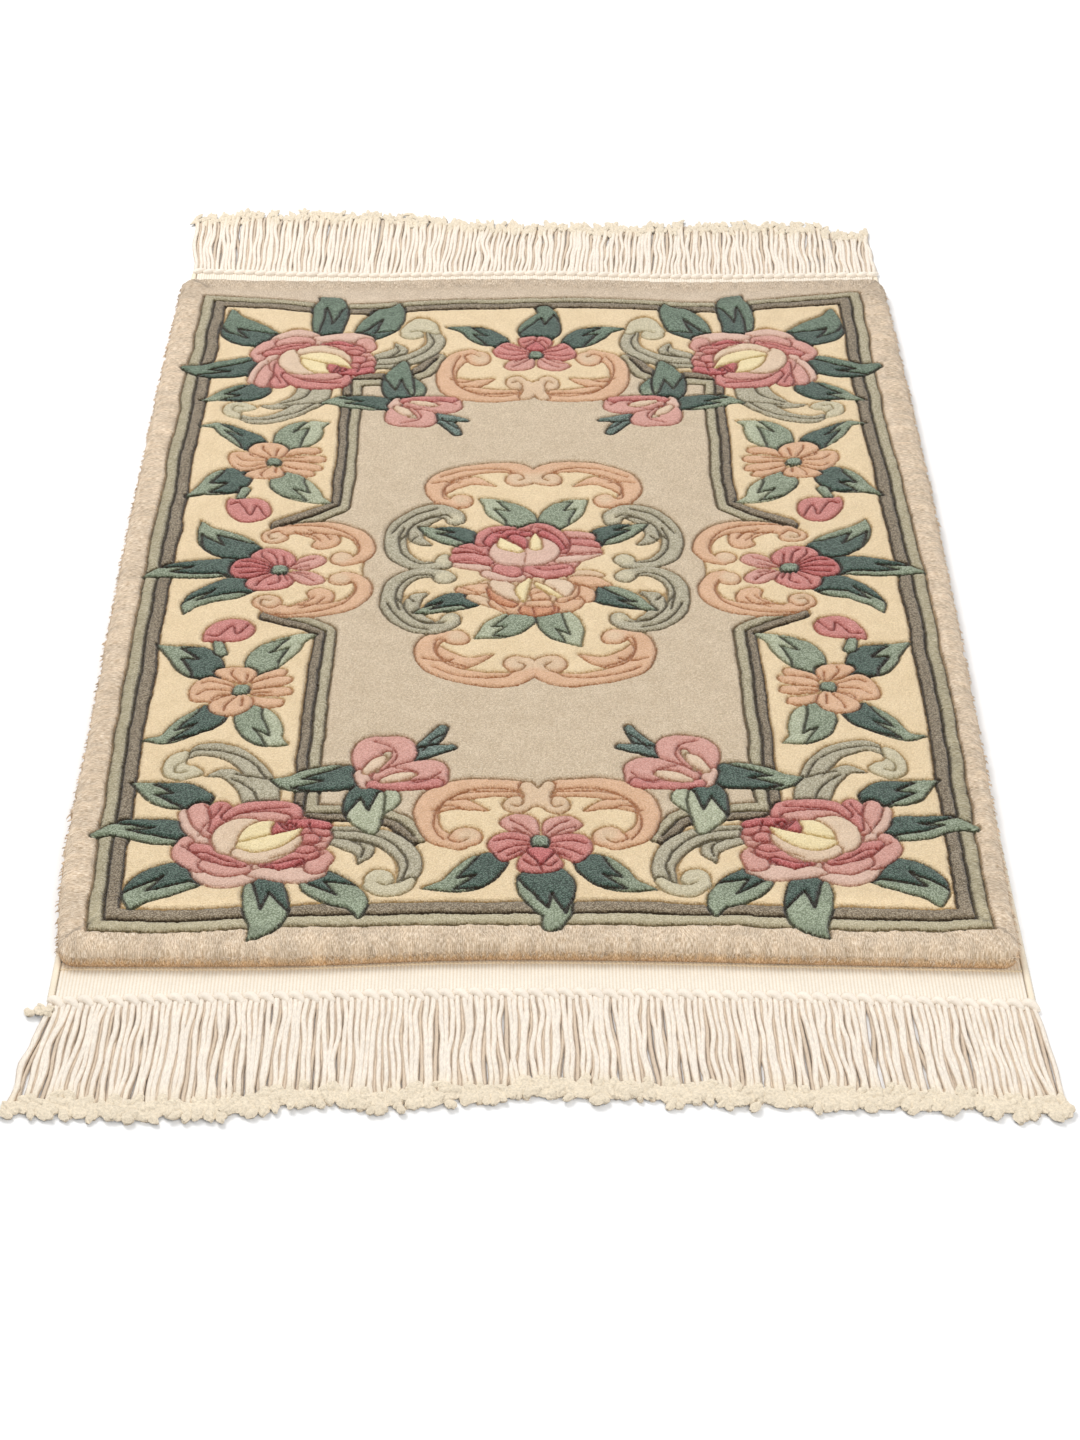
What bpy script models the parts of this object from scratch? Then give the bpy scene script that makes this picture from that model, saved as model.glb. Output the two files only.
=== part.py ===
"""A small Chinese rug: carved wool pile on a cotton ground, with flat-woven ends and knotted fringes.

Metres, +Z up. The origin is the middle of the underside; X runs across the rug and Y along it,
with the fringe that is nearest to the viewer at -Y. Everything rests on the plane Z = 0.
"""

import bmesh
import bpy
import numpy as np
from mathutils import Vector, noise

MM = 0.001

# Cotton ground, flat-woven where it runs out beyond the pile
GROUND_HALF_WIDTH = 299.7 * MM
GROUND_THICKNESS = 2.5 * MM
GROUND_STEPS_ACROSS = 48
GROUND_STEPS_ALONG = 2

# Overcast cord along each side of the ground
CORD_WIDTH = 5.0 * MM
CORD_SIDES = 10

# Pieces that touch keep this gap
SEAT = 0.3 * MM

# Wool pile
PILE_HALF_WIDTH = 307.0 * MM
PILE_HALF_LENGTH = 450.0 * MM
PILE_TOP = 15.3 * MM
PILE_FOOT = GROUND_THICKNESS + SEAT
PILE_UNEVEN = 0.5 * MM
PILE_UNEVEN_SCALE = 14.0
RIM_DROP = (4.3 * MM, 1.0 * MM)
RIM_RING = (4.0 * MM, 11.0 * MM)
RIM_BULGE = 1.6 * MM
RIM_BULGE_HEIGHT = 8.0 * MM
RIM_FOOT_INSET = 2.5 * MM
RIM_LUMP = 0.7 * MM
RIM_LUMP_SCALE = 90.0
RIM_TOLERANCE = 0.1 * MM

# Channels carved in the pile on both sides of the two frame stripes
GROOVE_HALF_WIDTH = 1.7 * MM
GROOVE_DEPTH = 2.6 * MM
FRAME_GROOVES_X = (288.0 * MM, 280.0 * MM, 271.0 * MM)
FRAME_GROOVES_Y = (429.0 * MM, 420.0 * MM, 411.0 * MM)
# The same stripes around the field, broken by the side and end scrolls
FIELD_GROOVES_X = (165.0 * MM, 157.0 * MM, 148.0 * MM)
FIELD_GROOVES_Y = (317.0 * MM, 309.0 * MM, 301.0 * MM)
FIELD_GAP_Y = 95.0 * MM
FIELD_GAP_X = 88.0 * MM
PLAIN_LINES_X = (0.0, 44.0 * MM, FIELD_GAP_X, 118.0 * MM, 200.0 * MM, 236.0 * MM)
PLAIN_LINES_Y = (0.0, 48.0 * MM, FIELD_GAP_Y, 150.0 * MM, 200.0 * MM, 250.0 * MM, 362.0 * MM)

# How far the pile's outline stands out from its nominal size: (place along the side, offset)
LEFT_SIDE = ((-450.0, -6.5), (-400.0, -1.0), (-200.0, 2.5), (0.0, 4.0), (250.0, 3.5), (450.0, 1.0))
RIGHT_SIDE = ((-450.0, -9.0), (-400.0, -8.0), (-200.0, -4.0), (0.0, -1.5), (250.0, -1.0), (450.0, -3.0))
NEAR_END = ((-300.0, 5.0), (-150.0, 4.0), (-60.0, -1.0), (60.0, -1.0), (160.0, 2.0), (300.0, 6.0))
FAR_END = ((-300.0, -2.0), (-160.0, -5.0), (-20.0, 0.0), (150.0, -5.0), (300.0, 1.0))

# Where the flat-woven ends stop and the knots begin: (x, y)
NEAR_KNOT_LINE = ((-300.0, -485.5), (-150.0, -480.0), (0.0, -477.0), (150.0, -480.0), (300.0, -487.5))
FAR_KNOT_LINE = ((-300.0, 479.0), (-160.0, 472.0), (0.0, 477.0), (150.0, 471.0), (300.0, 476.0))

# Fringe: 66 knots at each end, two strands in each and three in every fourth
KNOTS = 66
STRANDS_PER_KNOT = 2
EXTRA_STRAND_EVERY = 4
FRINGE_X = (-304.0 * MM, 304.5 * MM)
KNOT_LENGTH = 8.0 * MM
KNOT_CREST = 5.4 * MM
KNOT_VALLEY = 3.0 * MM
KNOT_BACK = 2.6 * MM
STRAND_ROOT_TOP = 3.6 * MM
STRAND_STATIONS = (0.5, 1.0)
STRAND_FILL = (0.78, 0.62)
STRAND_TOPS = (3.2 * MM, 2.6 * MM)
STRAND_SWAY = (0.35 * MM, 0.5 * MM)
TIP_JITTER = 4.0 * MM
STRAND_SEED = 11
# The knots' outer faces, where the strands start, face outwards by at least this cosine
ROOT_FACING = 0.7

# Where the strands' tips lie: (x, y), and how far they lean sideways: (x, lean)
NEAR_TIPS = (
    (-300.0, -586.0),
    (-195.0, -586.0),
    (-150.0, -577.0),
    (-120.0, -580.0),
    (0.0, -570.0),
    (130.0, -577.0),
    (200.0, -578.0),
    (300.0, -587.0),
)
FAR_TIPS = (
    (-300.0, 594.0),
    (-220.0, 597.0),
    (-110.0, 591.0),
    (-50.0, 578.0),
    (60.0, 574.0),
    (180.0, 578.0),
    (250.0, 574.0),
    (300.0, 562.0),
)
NEAR_LEAN = ((-304.0, -11.0), (-260.0, -3.0), (-100.0, 1.0), (150.0, 3.0), (260.0, 4.0), (304.0, 7.0))
FAR_LEAN = ((-304.0, -7.0), (-260.0, -3.0), (-120.0, 4.0), (0.0, 7.0), (150.0, 5.0), (304.0, 2.0))

WOOL = (0.60, 0.49, 0.40)
COTTON = (0.86, 0.77, 0.62)
CORD_COTTON = (0.80, 0.66, 0.45)
CLOTH_ROUGHNESS = 0.95
SOFT_EDGE_DEGREES = 40.0


def clear_scene():
    for obj in list(bpy.data.objects):
        bpy.data.objects.remove(obj)


def rug_collection():
    collection = bpy.data.collections.new("chinese_rug")
    bpy.context.scene.collection.children.link(collection)
    return collection


def cloth_material(name, colour):
    material = bpy.data.materials.new(name)
    material.use_nodes = True
    shader = material.node_tree.nodes["Principled BSDF"]
    shader.inputs["Base Color"].default_value = (*colour, 1.0)
    shader.inputs["Roughness"].default_value = CLOTH_ROUGHNESS
    shader.inputs["Metallic"].default_value = 0.0
    return material


def add_object(name, bm, material, collection, smooth=False):
    bmesh.ops.recalc_face_normals(bm, faces=bm.faces)
    mesh = bpy.data.meshes.new(name)
    bm.to_mesh(mesh)
    bm.free()
    mesh.materials.append(material)
    if smooth:
        mesh.shade_smooth()
        mesh.set_sharp_from_angle(angle=np.radians(SOFT_EDGE_DEGREES))
    obj = bpy.data.objects.new(name, mesh)
    collection.objects.link(obj)
    return obj


def along(table, place):
    """The table's second column, in metres, at a place in metres along its first, on a smooth curve."""
    places, values = np.array(table).T * MM
    slopes = np.gradient(values, places)
    left = int(np.clip(np.searchsorted(places, place) - 1, 0, len(places) - 2))
    step = places[left + 1] - places[left]
    t = float(np.clip((place - places[left]) / step, 0.0, 1.0))
    rise = t * t * (3.0 - 2.0 * t)
    start_pull = t * (1.0 - t) ** 2 * step * slopes[left]
    end_pull = t * t * (t - 1.0) * step * slopes[left + 1]
    return float(values[left] * (1.0 - rise) + values[left + 1] * rise + start_pull + end_pull)


def mirrored(values):
    """The values and their negatives, in order, each once."""
    return sorted({sign * value for value in values for sign in (-1.0, 1.0)})


def groove_lines(centres):
    """A groove's two edges and its bottom, for each centre."""
    return [centre + side * GROOVE_HALF_WIDTH for centre in centres for side in (-1.0, 0.0, 1.0)]


def grid_between(xs, ys):
    """A flat grid whose lines lie at xs and ys, and the column and row of each vertex."""
    bm = bmesh.new()
    bmesh.ops.create_grid(bm, x_segments=len(xs) - 1, y_segments=len(ys) - 1, size=1.0)
    cells = {}
    for vertex in bm.verts:
        column = round((vertex.co.x + 1.0) / 2.0 * (len(xs) - 1))
        row = round((vertex.co.y + 1.0) / 2.0 * (len(ys) - 1))
        vertex.co = Vector((xs[column], ys[row], 0.0))
        cells[vertex] = (column, row)
    return bm, cells


def extrude_rim(bm):
    """Extrudes the open edge of a surface and returns the new vertices."""
    edges = [edge for edge in bm.edges if edge.is_boundary]
    made = bmesh.ops.extrude_edge_only(bm, edges=edges)["geom"]
    return [item for item in made if isinstance(item, bmesh.types.BMVert)]


def close_rim(bm):
    bmesh.ops.contextual_create(bm, geom=[edge for edge in bm.edges if edge.is_boundary])


def make_ground(material, collection):
    """The cotton sheet under the pile, which shows as a flat-woven band at each end."""
    xs = np.linspace(-GROUND_HALF_WIDTH, GROUND_HALF_WIDTH, GROUND_STEPS_ACROSS + 1)
    ys = np.linspace(-1.0, 1.0, GROUND_STEPS_ALONG + 1)
    bm, _ = grid_between(xs, ys)
    for vertex in bm.verts:
        near, far = along(NEAR_KNOT_LINE, vertex.co.x), along(FAR_KNOT_LINE, vertex.co.x)
        vertex.co.y = near + (far - near) * (vertex.co.y + 1.0) / 2.0
        vertex.co.z = GROUND_THICKNESS
    for vertex in extrude_rim(bm):
        vertex.co.z = 0.0
    close_rim(bm)
    return add_object("foundation", bm, material, collection)


def make_side_cord(name, side, material, collection):
    """A flattened cord that lies beside the ground from knot line to knot line."""
    x = side * (GROUND_HALF_WIDTH + SEAT + CORD_WIDTH / 2.0)
    near, far = along(NEAR_KNOT_LINE, x), along(FAR_KNOT_LINE, x)
    bm = bmesh.new()
    bmesh.ops.create_cone(
        bm, cap_ends=True, segments=CORD_SIDES, radius1=0.5, radius2=0.5, depth=far - near
    )
    for vertex in bm.verts:
        across, up, length = vertex.co
        vertex.co = Vector((across * CORD_WIDTH, length, up * GROUND_THICKNESS))
    lowest = min(vertex.co.z for vertex in bm.verts)
    for vertex in bm.verts:
        vertex.co += Vector((x, (near + far) / 2.0, -lowest))
    return add_object(name, bm, material, collection, smooth=True)


def on_frame_groove(x, y):
    """Whether a point is on the bottom of one of the channels around the whole rug."""
    for groove_x, groove_y in zip(FRAME_GROOVES_X, FRAME_GROOVES_Y):
        beside = np.isclose(abs(x), groove_x) and abs(y) <= groove_y + SEAT
        across = np.isclose(abs(y), groove_y) and abs(x) <= groove_x + SEAT
        if beside or across:
            return True
    return False


def on_field_groove(x, y):
    """Whether a point is on the bottom of one of the channels around the field."""
    for groove_x, groove_y in zip(FIELD_GROOVES_X, FIELD_GROOVES_Y):
        beside = np.isclose(abs(x), groove_x) and FIELD_GAP_Y <= abs(y) <= groove_y + SEAT
        across = np.isclose(abs(y), groove_y) and FIELD_GAP_X <= abs(x) <= groove_x + SEAT
        if beside or across:
            return True
    return False


def outline_shift(x, y):
    """How far the uneven outline moves a point of the nominal rectangle, fading to nothing at the middle."""
    side = LEFT_SIDE if x < 0.0 else RIGHT_SIDE
    end = NEAR_END if y < 0.0 else FAR_END
    shift_x = along(side, y) * (x / PILE_HALF_WIDTH)
    shift_y = along(end, x) * (y / PILE_HALF_LENGTH) ** 3
    return Vector((shift_x, shift_y, 0.0))


def rim_normal(point):
    """The outward direction at the nominal rectangle's rim, or where the bulge has pushed it outwards."""
    beside = abs(point.x) > PILE_HALF_WIDTH - RIM_TOLERANCE
    across = abs(point.y) > PILE_HALF_LENGTH - RIM_TOLERANCE
    return Vector((np.sign(point.x) * beside, np.sign(point.y) * across, 0.0)).normalized()


def make_pile(material, collection):
    """The wool pile: a soft-edged slab, carved along its stripes, lumpy at the rim."""
    rim_x = [PILE_HALF_WIDTH, *(PILE_HALF_WIDTH - ring for ring in RIM_RING)]
    rim_y = [PILE_HALF_LENGTH, *(PILE_HALF_LENGTH - ring for ring in RIM_RING)]
    xs = mirrored(
        [*rim_x, *groove_lines(FRAME_GROOVES_X), *groove_lines(FIELD_GROOVES_X), *PLAIN_LINES_X]
    )
    ys = mirrored(
        [*rim_y, *groove_lines(FRAME_GROOVES_Y), *groove_lines(FIELD_GROOVES_Y), *PLAIN_LINES_Y]
    )
    bm, cells = grid_between(xs, ys)
    drops = (*RIM_DROP, 0.0)
    for vertex, (column, row) in cells.items():
        x, y = vertex.co.x, vertex.co.y
        ring = min(column, row, len(xs) - 1 - column, len(ys) - 1 - row, len(drops) - 1)
        lump = noise.noise(Vector((x, y, 0.0)) * PILE_UNEVEN_SCALE)
        height = PILE_TOP - drops[ring] + lump * PILE_UNEVEN
        if on_frame_groove(x, y) or on_field_groove(x, y):
            height -= GROOVE_DEPTH
        vertex.co.z = height
    for height, outward in ((RIM_BULGE_HEIGHT, RIM_BULGE), (PILE_FOOT, -RIM_FOOT_INSET - RIM_BULGE)):
        for vertex in extrude_rim(bm):
            lump = noise.noise(vertex.co * RIM_LUMP_SCALE) * RIM_LUMP
            vertex.co += rim_normal(vertex.co) * (outward + lump)
            vertex.co.z = height
    close_rim(bm)
    for vertex in bm.verts:
        vertex.co += outline_shift(vertex.co.x, vertex.co.y)
    return add_object("pile", bm, material, collection, smooth=True)


def strands_in_knots():
    """The number of strands in each knot, in order."""
    return [
        STRANDS_PER_KNOT + (knot % EXTRA_STRAND_EVERY == EXTRA_STRAND_EVERY - 1)
        for knot in range(KNOTS)
    ]


def strand_lines():
    """The x of every line between strands, and whether the line is a gap between two knots."""
    knot_edges = np.linspace(*FRINGE_X, KNOTS + 1)
    lines, gaps = [], []
    for left, right, strands in zip(knot_edges, knot_edges[1:], strands_in_knots()):
        lines.extend(np.linspace(left, right, strands + 1)[:-1])
        gaps.extend([True] + [False] * (strands - 1))
    return [*lines, knot_edges[-1]], [*gaps, True]


def make_fringe(name, outward, knot_line, tips, lean, material, collection):
    """A row of knots with its strands lying flat, all one body. outward is -1 near, 1 at the far end."""
    lines, gaps = strand_lines()
    bm, cells = grid_between(lines, (0.0, 0.5, 1.0))
    for vertex, (column, row) in cells.items():
        start = along(knot_line, vertex.co.x) + outward * SEAT
        vertex.co.y = start + outward * KNOT_LENGTH * row / 2.0
        crest = KNOT_VALLEY if gaps[column] else KNOT_CREST
        vertex.co.z = (KNOT_BACK, crest, STRAND_ROOT_TOP)[row]
    for vertex in extrude_rim(bm):
        vertex.co.z = 0.0
    close_rim(bm)
    bmesh.ops.recalc_face_normals(bm, faces=bm.faces)
    bm.normal_update()
    roots = [face for face in bm.faces if face.normal.y * outward > ROOT_FACING]
    roots.sort(key=lambda face: face.calc_center_median().x)
    grow_strands(bm, roots, outward, tips, lean)
    return add_object(name, bm, material, collection)


def grow_strands(bm, roots, outward, tips, lean):
    """Extrudes each root face along its strand, one station at a time."""
    random = np.random.default_rng(STRAND_SEED)
    starts = [face.calc_center_median() for face in roots]
    widths = [max(v.co.x for v in face.verts) - min(v.co.x for v in face.verts) for face in roots]
    tip_y = [along(tips, start.x) - outward * random.uniform(0.0, TIP_JITTER) for start in starts]
    faces = roots
    for station, fill, top, sway in zip(STRAND_STATIONS, STRAND_FILL, STRAND_TOPS, STRAND_SWAY):
        made = bmesh.ops.extrude_discrete_faces(bm, faces=faces)["faces"]
        faces = sorted(made, key=lambda face: face.calc_center_median().x)
        for face, start, width, end_y in zip(faces, starts, widths, tip_y):
            middle_x = start.x + along(lean, start.x) * station + random.uniform(-sway, sway)
            middle = face.calc_center_median()
            for vertex in face.verts:
                side = np.sign(vertex.co.x - middle.x)
                vertex.co.z = top if vertex.co.z > middle.z else 0.0
                vertex.co.x = middle_x + side * width * fill / 2.0
                vertex.co.y = start.y + (end_y - start.y) * station


def main():
    clear_scene()
    collection = rug_collection()
    wool = cloth_material("wool_pile", WOOL)
    cotton = cloth_material("cotton", COTTON)
    cord_cotton = cloth_material("overcast_cord", CORD_COTTON)
    make_ground(cotton, collection)
    make_side_cord("side_cord_left", -1.0, cord_cotton, collection)
    make_side_cord("side_cord_right", 1.0, cord_cotton, collection)
    make_pile(wool, collection)
    make_fringe("fringe_near", -1.0, NEAR_KNOT_LINE, NEAR_TIPS, NEAR_LEAN, cotton, collection)
    make_fringe("fringe_far", 1.0, FAR_KNOT_LINE, FAR_TIPS, FAR_LEAN, cotton, collection)


main()
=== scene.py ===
"""Looks of the carved Chinese rug: dyed wool pile, flat-woven ends, overcast sides, knots and fringes.

Plan sizes are in millimetres in the rug's own frame: X across, Y towards the far end, Z = 0 on the floor.
"""

import bpy
import numpy as np
from mathutils import Matrix, Vector


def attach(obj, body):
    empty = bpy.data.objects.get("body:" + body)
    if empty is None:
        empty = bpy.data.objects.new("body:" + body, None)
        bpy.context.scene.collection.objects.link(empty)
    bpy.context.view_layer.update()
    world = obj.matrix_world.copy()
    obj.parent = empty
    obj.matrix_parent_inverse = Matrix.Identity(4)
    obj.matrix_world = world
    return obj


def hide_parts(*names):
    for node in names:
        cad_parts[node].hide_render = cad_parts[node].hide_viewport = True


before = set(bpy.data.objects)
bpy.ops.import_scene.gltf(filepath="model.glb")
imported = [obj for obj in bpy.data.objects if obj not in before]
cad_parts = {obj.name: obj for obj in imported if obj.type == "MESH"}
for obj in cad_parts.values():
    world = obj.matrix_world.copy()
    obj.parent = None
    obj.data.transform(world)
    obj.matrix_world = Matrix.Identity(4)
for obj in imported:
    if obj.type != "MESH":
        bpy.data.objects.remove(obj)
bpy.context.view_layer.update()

MM = 0.001

# Yarn colours and the colours of painted shade, as red, green and blue from 0 to 255
FIELD = (219, 200, 173)
BORDER = (235, 215, 190)
CREAM = (241, 218, 180)
STRIPE_LIGHT = (191, 181, 153)
STRIPE_DARK = (150, 136, 114)
LEAF_DARK = (84, 105, 93)
LEAF_MID = (155, 165, 141)
LEAF_LIGHT = (190, 194, 167)
LEAF_FAR = (120, 138, 118)
STEM = (118, 136, 126)
ROSE_DEEP = (206, 122, 120)
ROSE_RICH = (202, 122, 118)
ROSE = (214, 146, 138)
ROSE_LIGHT = (222, 170, 157)
ROSE_PALE = (230, 196, 178)
CORAL = (230, 190, 156)
CORAL_DEEP = (217, 160, 124)
PEACH = (230, 202, 170)
GREY = (192, 184, 160)
GREY_LIGHT = (216, 206, 177)
HEART = (234, 209, 182)
HEART_CREAM = (247, 229, 184)
EYE = (148, 160, 139)
# Painted brown shade at the bottom of carved lines
CREVICE_SHADE = (54, 40, 24)
STRAND = (243, 232, 217)
# Painted tan shade on the strands' flanks, on the lower strands and low on loose cotton
STRAND_SHADE = (196, 168, 134)
TIP = (241, 226, 201)
KILIM = (239, 231, 217)
# Painted tan shade in the flat weave's furrows and at the pile's foot
KILIM_SHADE = (214, 190, 158)
OVERCAST = (238, 225, 203)
STITCH = (232, 211, 177)

# The width of a dyed edge, how far around a shape it is measured, and a distance past all those
DYE_EDGE = 1.3
SEARCH = 9.0
FAR_REACH = 99.0


def linear(colour):
    """The colour in linear light, from 0 to 1."""
    value = np.asarray(colour, float) / 255.0
    return np.where(value <= 0.04045, value / 12.92, ((value + 0.055) / 1.055) ** 2.4)


def smooth_curve(points, steps=6):
    """Places along a smooth curve through the points; every column is smoothed, also a radius."""
    points = np.asarray(points, float)
    slopes = np.gradient(points, axis=0)
    t = np.linspace(0.0, 1.0, steps, endpoint=False)[:, None]
    rise = t * t * (3.0 - 2.0 * t)
    parts = [
        a * (1.0 - rise) + b * rise + t * (1.0 - t) ** 2 * sa + t * t * (t - 1.0) * sb
        for a, b, sa, sb in zip(points, points[1:], slopes, slopes[1:])
    ]
    return np.vstack([*parts, points[-1:]])


def closed_curve(corners, steps=4):
    """Places along a smooth closed outline through the corners."""
    corners = np.asarray(corners, float)
    looped = np.vstack([corners[-2:], corners, corners[:2]])
    return smooth_curve(looped, steps)[2 * steps:(2 + len(corners)) * steps]


class Surface:
    """The dyed and carved face of the pile, as values at each point of its grid."""

    def __init__(self, x, y, quarter_x, quarter_y, half_y):
        self.whole = (x, y)
        self.half = (quarter_x, half_y)
        self.quarter = (quarter_x, quarter_y)
        self.colour = np.tile(linear(CREAM), (len(x), 1))
        self.edge = np.full(len(x), FAR_REACH)
        self.cut = np.zeros(len(x))

    def near(self, place, low, high, reach=SEARCH):
        """The points within reach of the box from low to high."""
        x, y = place
        return np.flatnonzero(
            (x > low[0] - reach) & (x < high[0] + reach) & (y > low[1] - reach) & (y < high[1] + reach)
        )

    def blend(self, index, share, colour):
        """Mixes a colour in, by its share at each point."""
        share = share[:, None]
        self.colour[index] = self.colour[index] * (1.0 - share) + linear(colour) * share

    def dye(self, index, distance, colour, cut=1.0):
        """Dyes what is inside an outline, and carves along it. distance is negative inside."""
        self.blend(index, np.clip(0.5 - distance / DYE_EDGE, 0.0, 1.0), colour)
        inside = distance < 0.0
        old = self.edge[index]
        nearer = inside | (distance < old)
        self.edge[index] = np.where(inside, -distance, np.minimum(old, distance))
        self.cut[index] = np.where(nearer, cut, self.cut[index])

    def carve(self, index, distance, cut=0.8):
        """Carves a line without a change of colour."""
        old = self.edge[index]
        distance = np.abs(distance)
        self.cut[index] = np.where(distance < old, cut, self.cut[index])
        self.edge[index] = np.minimum(old, distance)

    def blade(self, spine, colour, place=None, cut=1.0):
        """A shape with round ends along a smooth curve through (x, y, radius)."""
        self.cluster([spine], colour, place, cut)

    def cluster(self, spines, colour, place=None, cut=1.0):
        """Blades that run into one shape."""
        index, distance = self.reach_of(spines, place)
        self.dye(index, distance, colour, cut)

    def tint(self, spines, colour, place=None, soft=6.0):
        """Another dye with a soft edge and nothing carved."""
        index, distance = self.reach_of(spines, place)
        self.blend(index, np.clip(0.5 - distance / soft, 0.0, 1.0), colour)

    def reach_of(self, spines, place):
        """The points about a set of blades, and their distance to the nearest blade."""
        place = place or self.quarter
        curves = [smooth_curve(spine) if len(spine) > 1 else np.asarray(spine, float) for spine in spines]
        low = np.min([(curve[:, :2] - curve[:, 2:]).min(0) for curve in curves], axis=0)
        high = np.max([(curve[:, :2] + curve[:, 2:]).max(0) for curve in curves], axis=0)
        index = self.near(place, low, high)
        x, y = place[0][index], place[1][index]
        return index, np.min([measure(x, y, curve)[0] for curve in curves], axis=0)

    def crease(self, spine, place=None, cut=0.7):
        """A carved line along a smooth curve."""
        place = place or self.quarter
        spine = smooth_curve([(x, y, 0.0) for x, y in spine])
        index = self.near(place, spine[:, :2].min(0), spine[:, :2].max(0))
        distance = measure(place[0][index], place[1][index], spine)[0]
        self.carve(index, distance, cut)

    def creases(self, paths, place=None):
        """Carved lines, each with its depth."""
        for cut, path in paths:
            self.crease(path, place, cut)

    def polygon(self, corners, colour, place=None, cut=1.0):
        """A shape with straight sides between its corners."""
        place = place or self.quarter
        corners = np.asarray(corners, float)
        index = self.near(place, corners.min(0), corners.max(0))
        distance = outline_distance(place[0][index], place[1][index], corners)
        self.dye(index, distance, colour, cut)

    def petal(self, corners, colour, place=None, cut=1.0):
        """A shape with a smooth outline through its corners."""
        self.polygon(closed_curve(corners), colour, place, cut)


def measure(x, y, spine):
    """Distance to a tapering curve, and how far to the left of its line each point lies."""
    best = np.full(len(x), FAR_REACH)
    left = np.zeros(len(x))
    if len(spine) == 1:
        return np.hypot(x - spine[0, 0], y - spine[0, 1]) - spine[0, 2], left
    for a, b in zip(spine, spine[1:]):
        dx, dy = b[0] - a[0], b[1] - a[1]
        length = max(np.hypot(dx, dy), 1e-6)
        t = np.clip(((x - a[0]) * dx + (y - a[1]) * dy) / length**2, 0.0, 1.0)
        gap = np.hypot(x - a[0] - t * dx, y - a[1] - t * dy) - (a[2] + t * (b[2] - a[2]))
        closer = gap < best
        best[closer] = gap[closer]
        side = (dx * (y - a[1]) - dy * (x - a[0])) / length
        left[closer] = side[closer]
    return best, left


def outline_distance(x, y, corners):
    """Distance to a closed outline, negative inside."""
    best = np.full(len(x), FAR_REACH)
    inside = np.zeros(len(x), bool)
    for (ax, ay), (bx, by) in zip(corners, np.roll(corners, -1, axis=0)):
        dx, dy = bx - ax, by - ay
        t = np.clip(((x - ax) * dx + (y - ay) * dy) / max(dx * dx + dy * dy, 1e-9), 0.0, 1.0)
        best = np.minimum(best, np.hypot(x - ax - t * dx, y - ay - t * dy))
        crosses = (ay > y) != (by > y)
        inside ^= crosses & (x < ax + (y - ay) * dx / (dy if dy else 1e-9))
    return np.where(inside, -best, best)


# Where a leaf's dark yarn ends, as places along it and across it, from its dark edge to its light edge
LEAF_CUTS = {
    "long": ((0.82, -1.0), (0.76, -0.62), (0.42, -0.28), (0.68, 0.12), (0.14, 0.50), (0.0, 1.0)),
    "short": ((0.58, -1.0), (0.50, -0.75), (0.24, -0.20), (0.52, 0.22), (0.10, 0.58), (0.0, 1.0)),
    "fork": ((0.50, -1.0), (0.76, -0.58), (0.40, -0.12), (0.62, 0.32), (0.25, 0.62), (0.12, 1.0)),
}
# A leaf's two colours
SHADED = (LEAF_DARK, LEAF_MID)
PALE = (LEAF_MID, LEAF_LIGHT)
BRIGHT = (LEAF_DARK, LEAF_LIGHT)
# The dark part's outline passes the leaf's sides by this share of half its width, and its base by so
# much of its length, at a scale in millimetres; its dark edge has corners at these stops
LEAF_OVERHANG = 1.6
LEAF_BEHIND = -0.2
LEAF_EDGE_STOPS = (LEAF_BEHIND, 0.1, 0.25, 0.4, 0.55, 0.7)
LEAF_BASE_SCALE = 40.0


def leaf(surface, spine, side=1.0, cut="long", inner=LEAF_DARK, outer=LEAF_MID, place=None):
    """A leaf along a spine of (x, y, half width). With side 1 its dark edge is on its right."""
    place = place or surface.quarter
    spine = smooth_curve(spine)
    reach = spine[:, 2].max()
    index = surface.near(place, spine[:, :2].min(0) - reach, spine[:, :2].max(0) + reach)
    distance = measure(place[0][index], place[1][index], spine)[0]
    surface.dye(index, distance, outer)
    run = np.gradient(spine[:, :2], axis=0)
    left = np.column_stack([-run[:, 1], run[:, 0]]) / np.hypot(*run.T)[:, None]
    stations = np.linspace(0.0, 1.0, len(spine))
    zigzag = LEAF_CUTS[cut]
    dark_end = zigzag[0][0]
    stops = [at for at in LEAF_EDGE_STOPS if at < dark_end]
    edge = [(at, -LEAF_OVERHANG) for at in (*stops, dark_end)]
    corners = [*edge, *zigzag, (LEAF_BEHIND, LEAF_OVERHANG)]
    outline = []
    for at, across in corners:
        x, y, half = (np.interp(at, stations, column) for column in spine.T)
        nx, ny = (np.interp(at, stations, column) for column in left.T)
        back = min(at, 0.0) * LEAF_BASE_SCALE
        shift = across * side * (half + 1.0)
        outline.append((x + nx * shift + ny * back, y + ny * shift - nx * back))
    dark = np.maximum(outline_distance(place[0][index], place[1][index], np.array(outline)), distance)
    inside = distance < 1.0
    surface.dye(index[inside], dark[inside], inner, 0.9)
    # The leaf's own outline again, where the dark yarn didn't reach it
    surface.carve(index, distance, 1.0)


def leaves(s, table, place=None):
    """Leaves, each as its side, its cut, its two colours and its spine."""
    for side, cut, colours, spine in table:
        leaf(s, spine, side, cut, *colours, place)


# The plan of the design's near left quarter, in millimetres; the other quarters mirror it
CENTRE_X = -2.5
CENTRE_Y = -14.0
NEAR_PLACES = (-450, -440, -426, -404, -385, -339, -309, -283, -232, -169, -103, -80, -14)
FAR_PLACES = (450, 421, 415, 396, 358, 313, 275, 244, 202, 144, 82, 53, -14)
SKEW = 0.010

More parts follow.
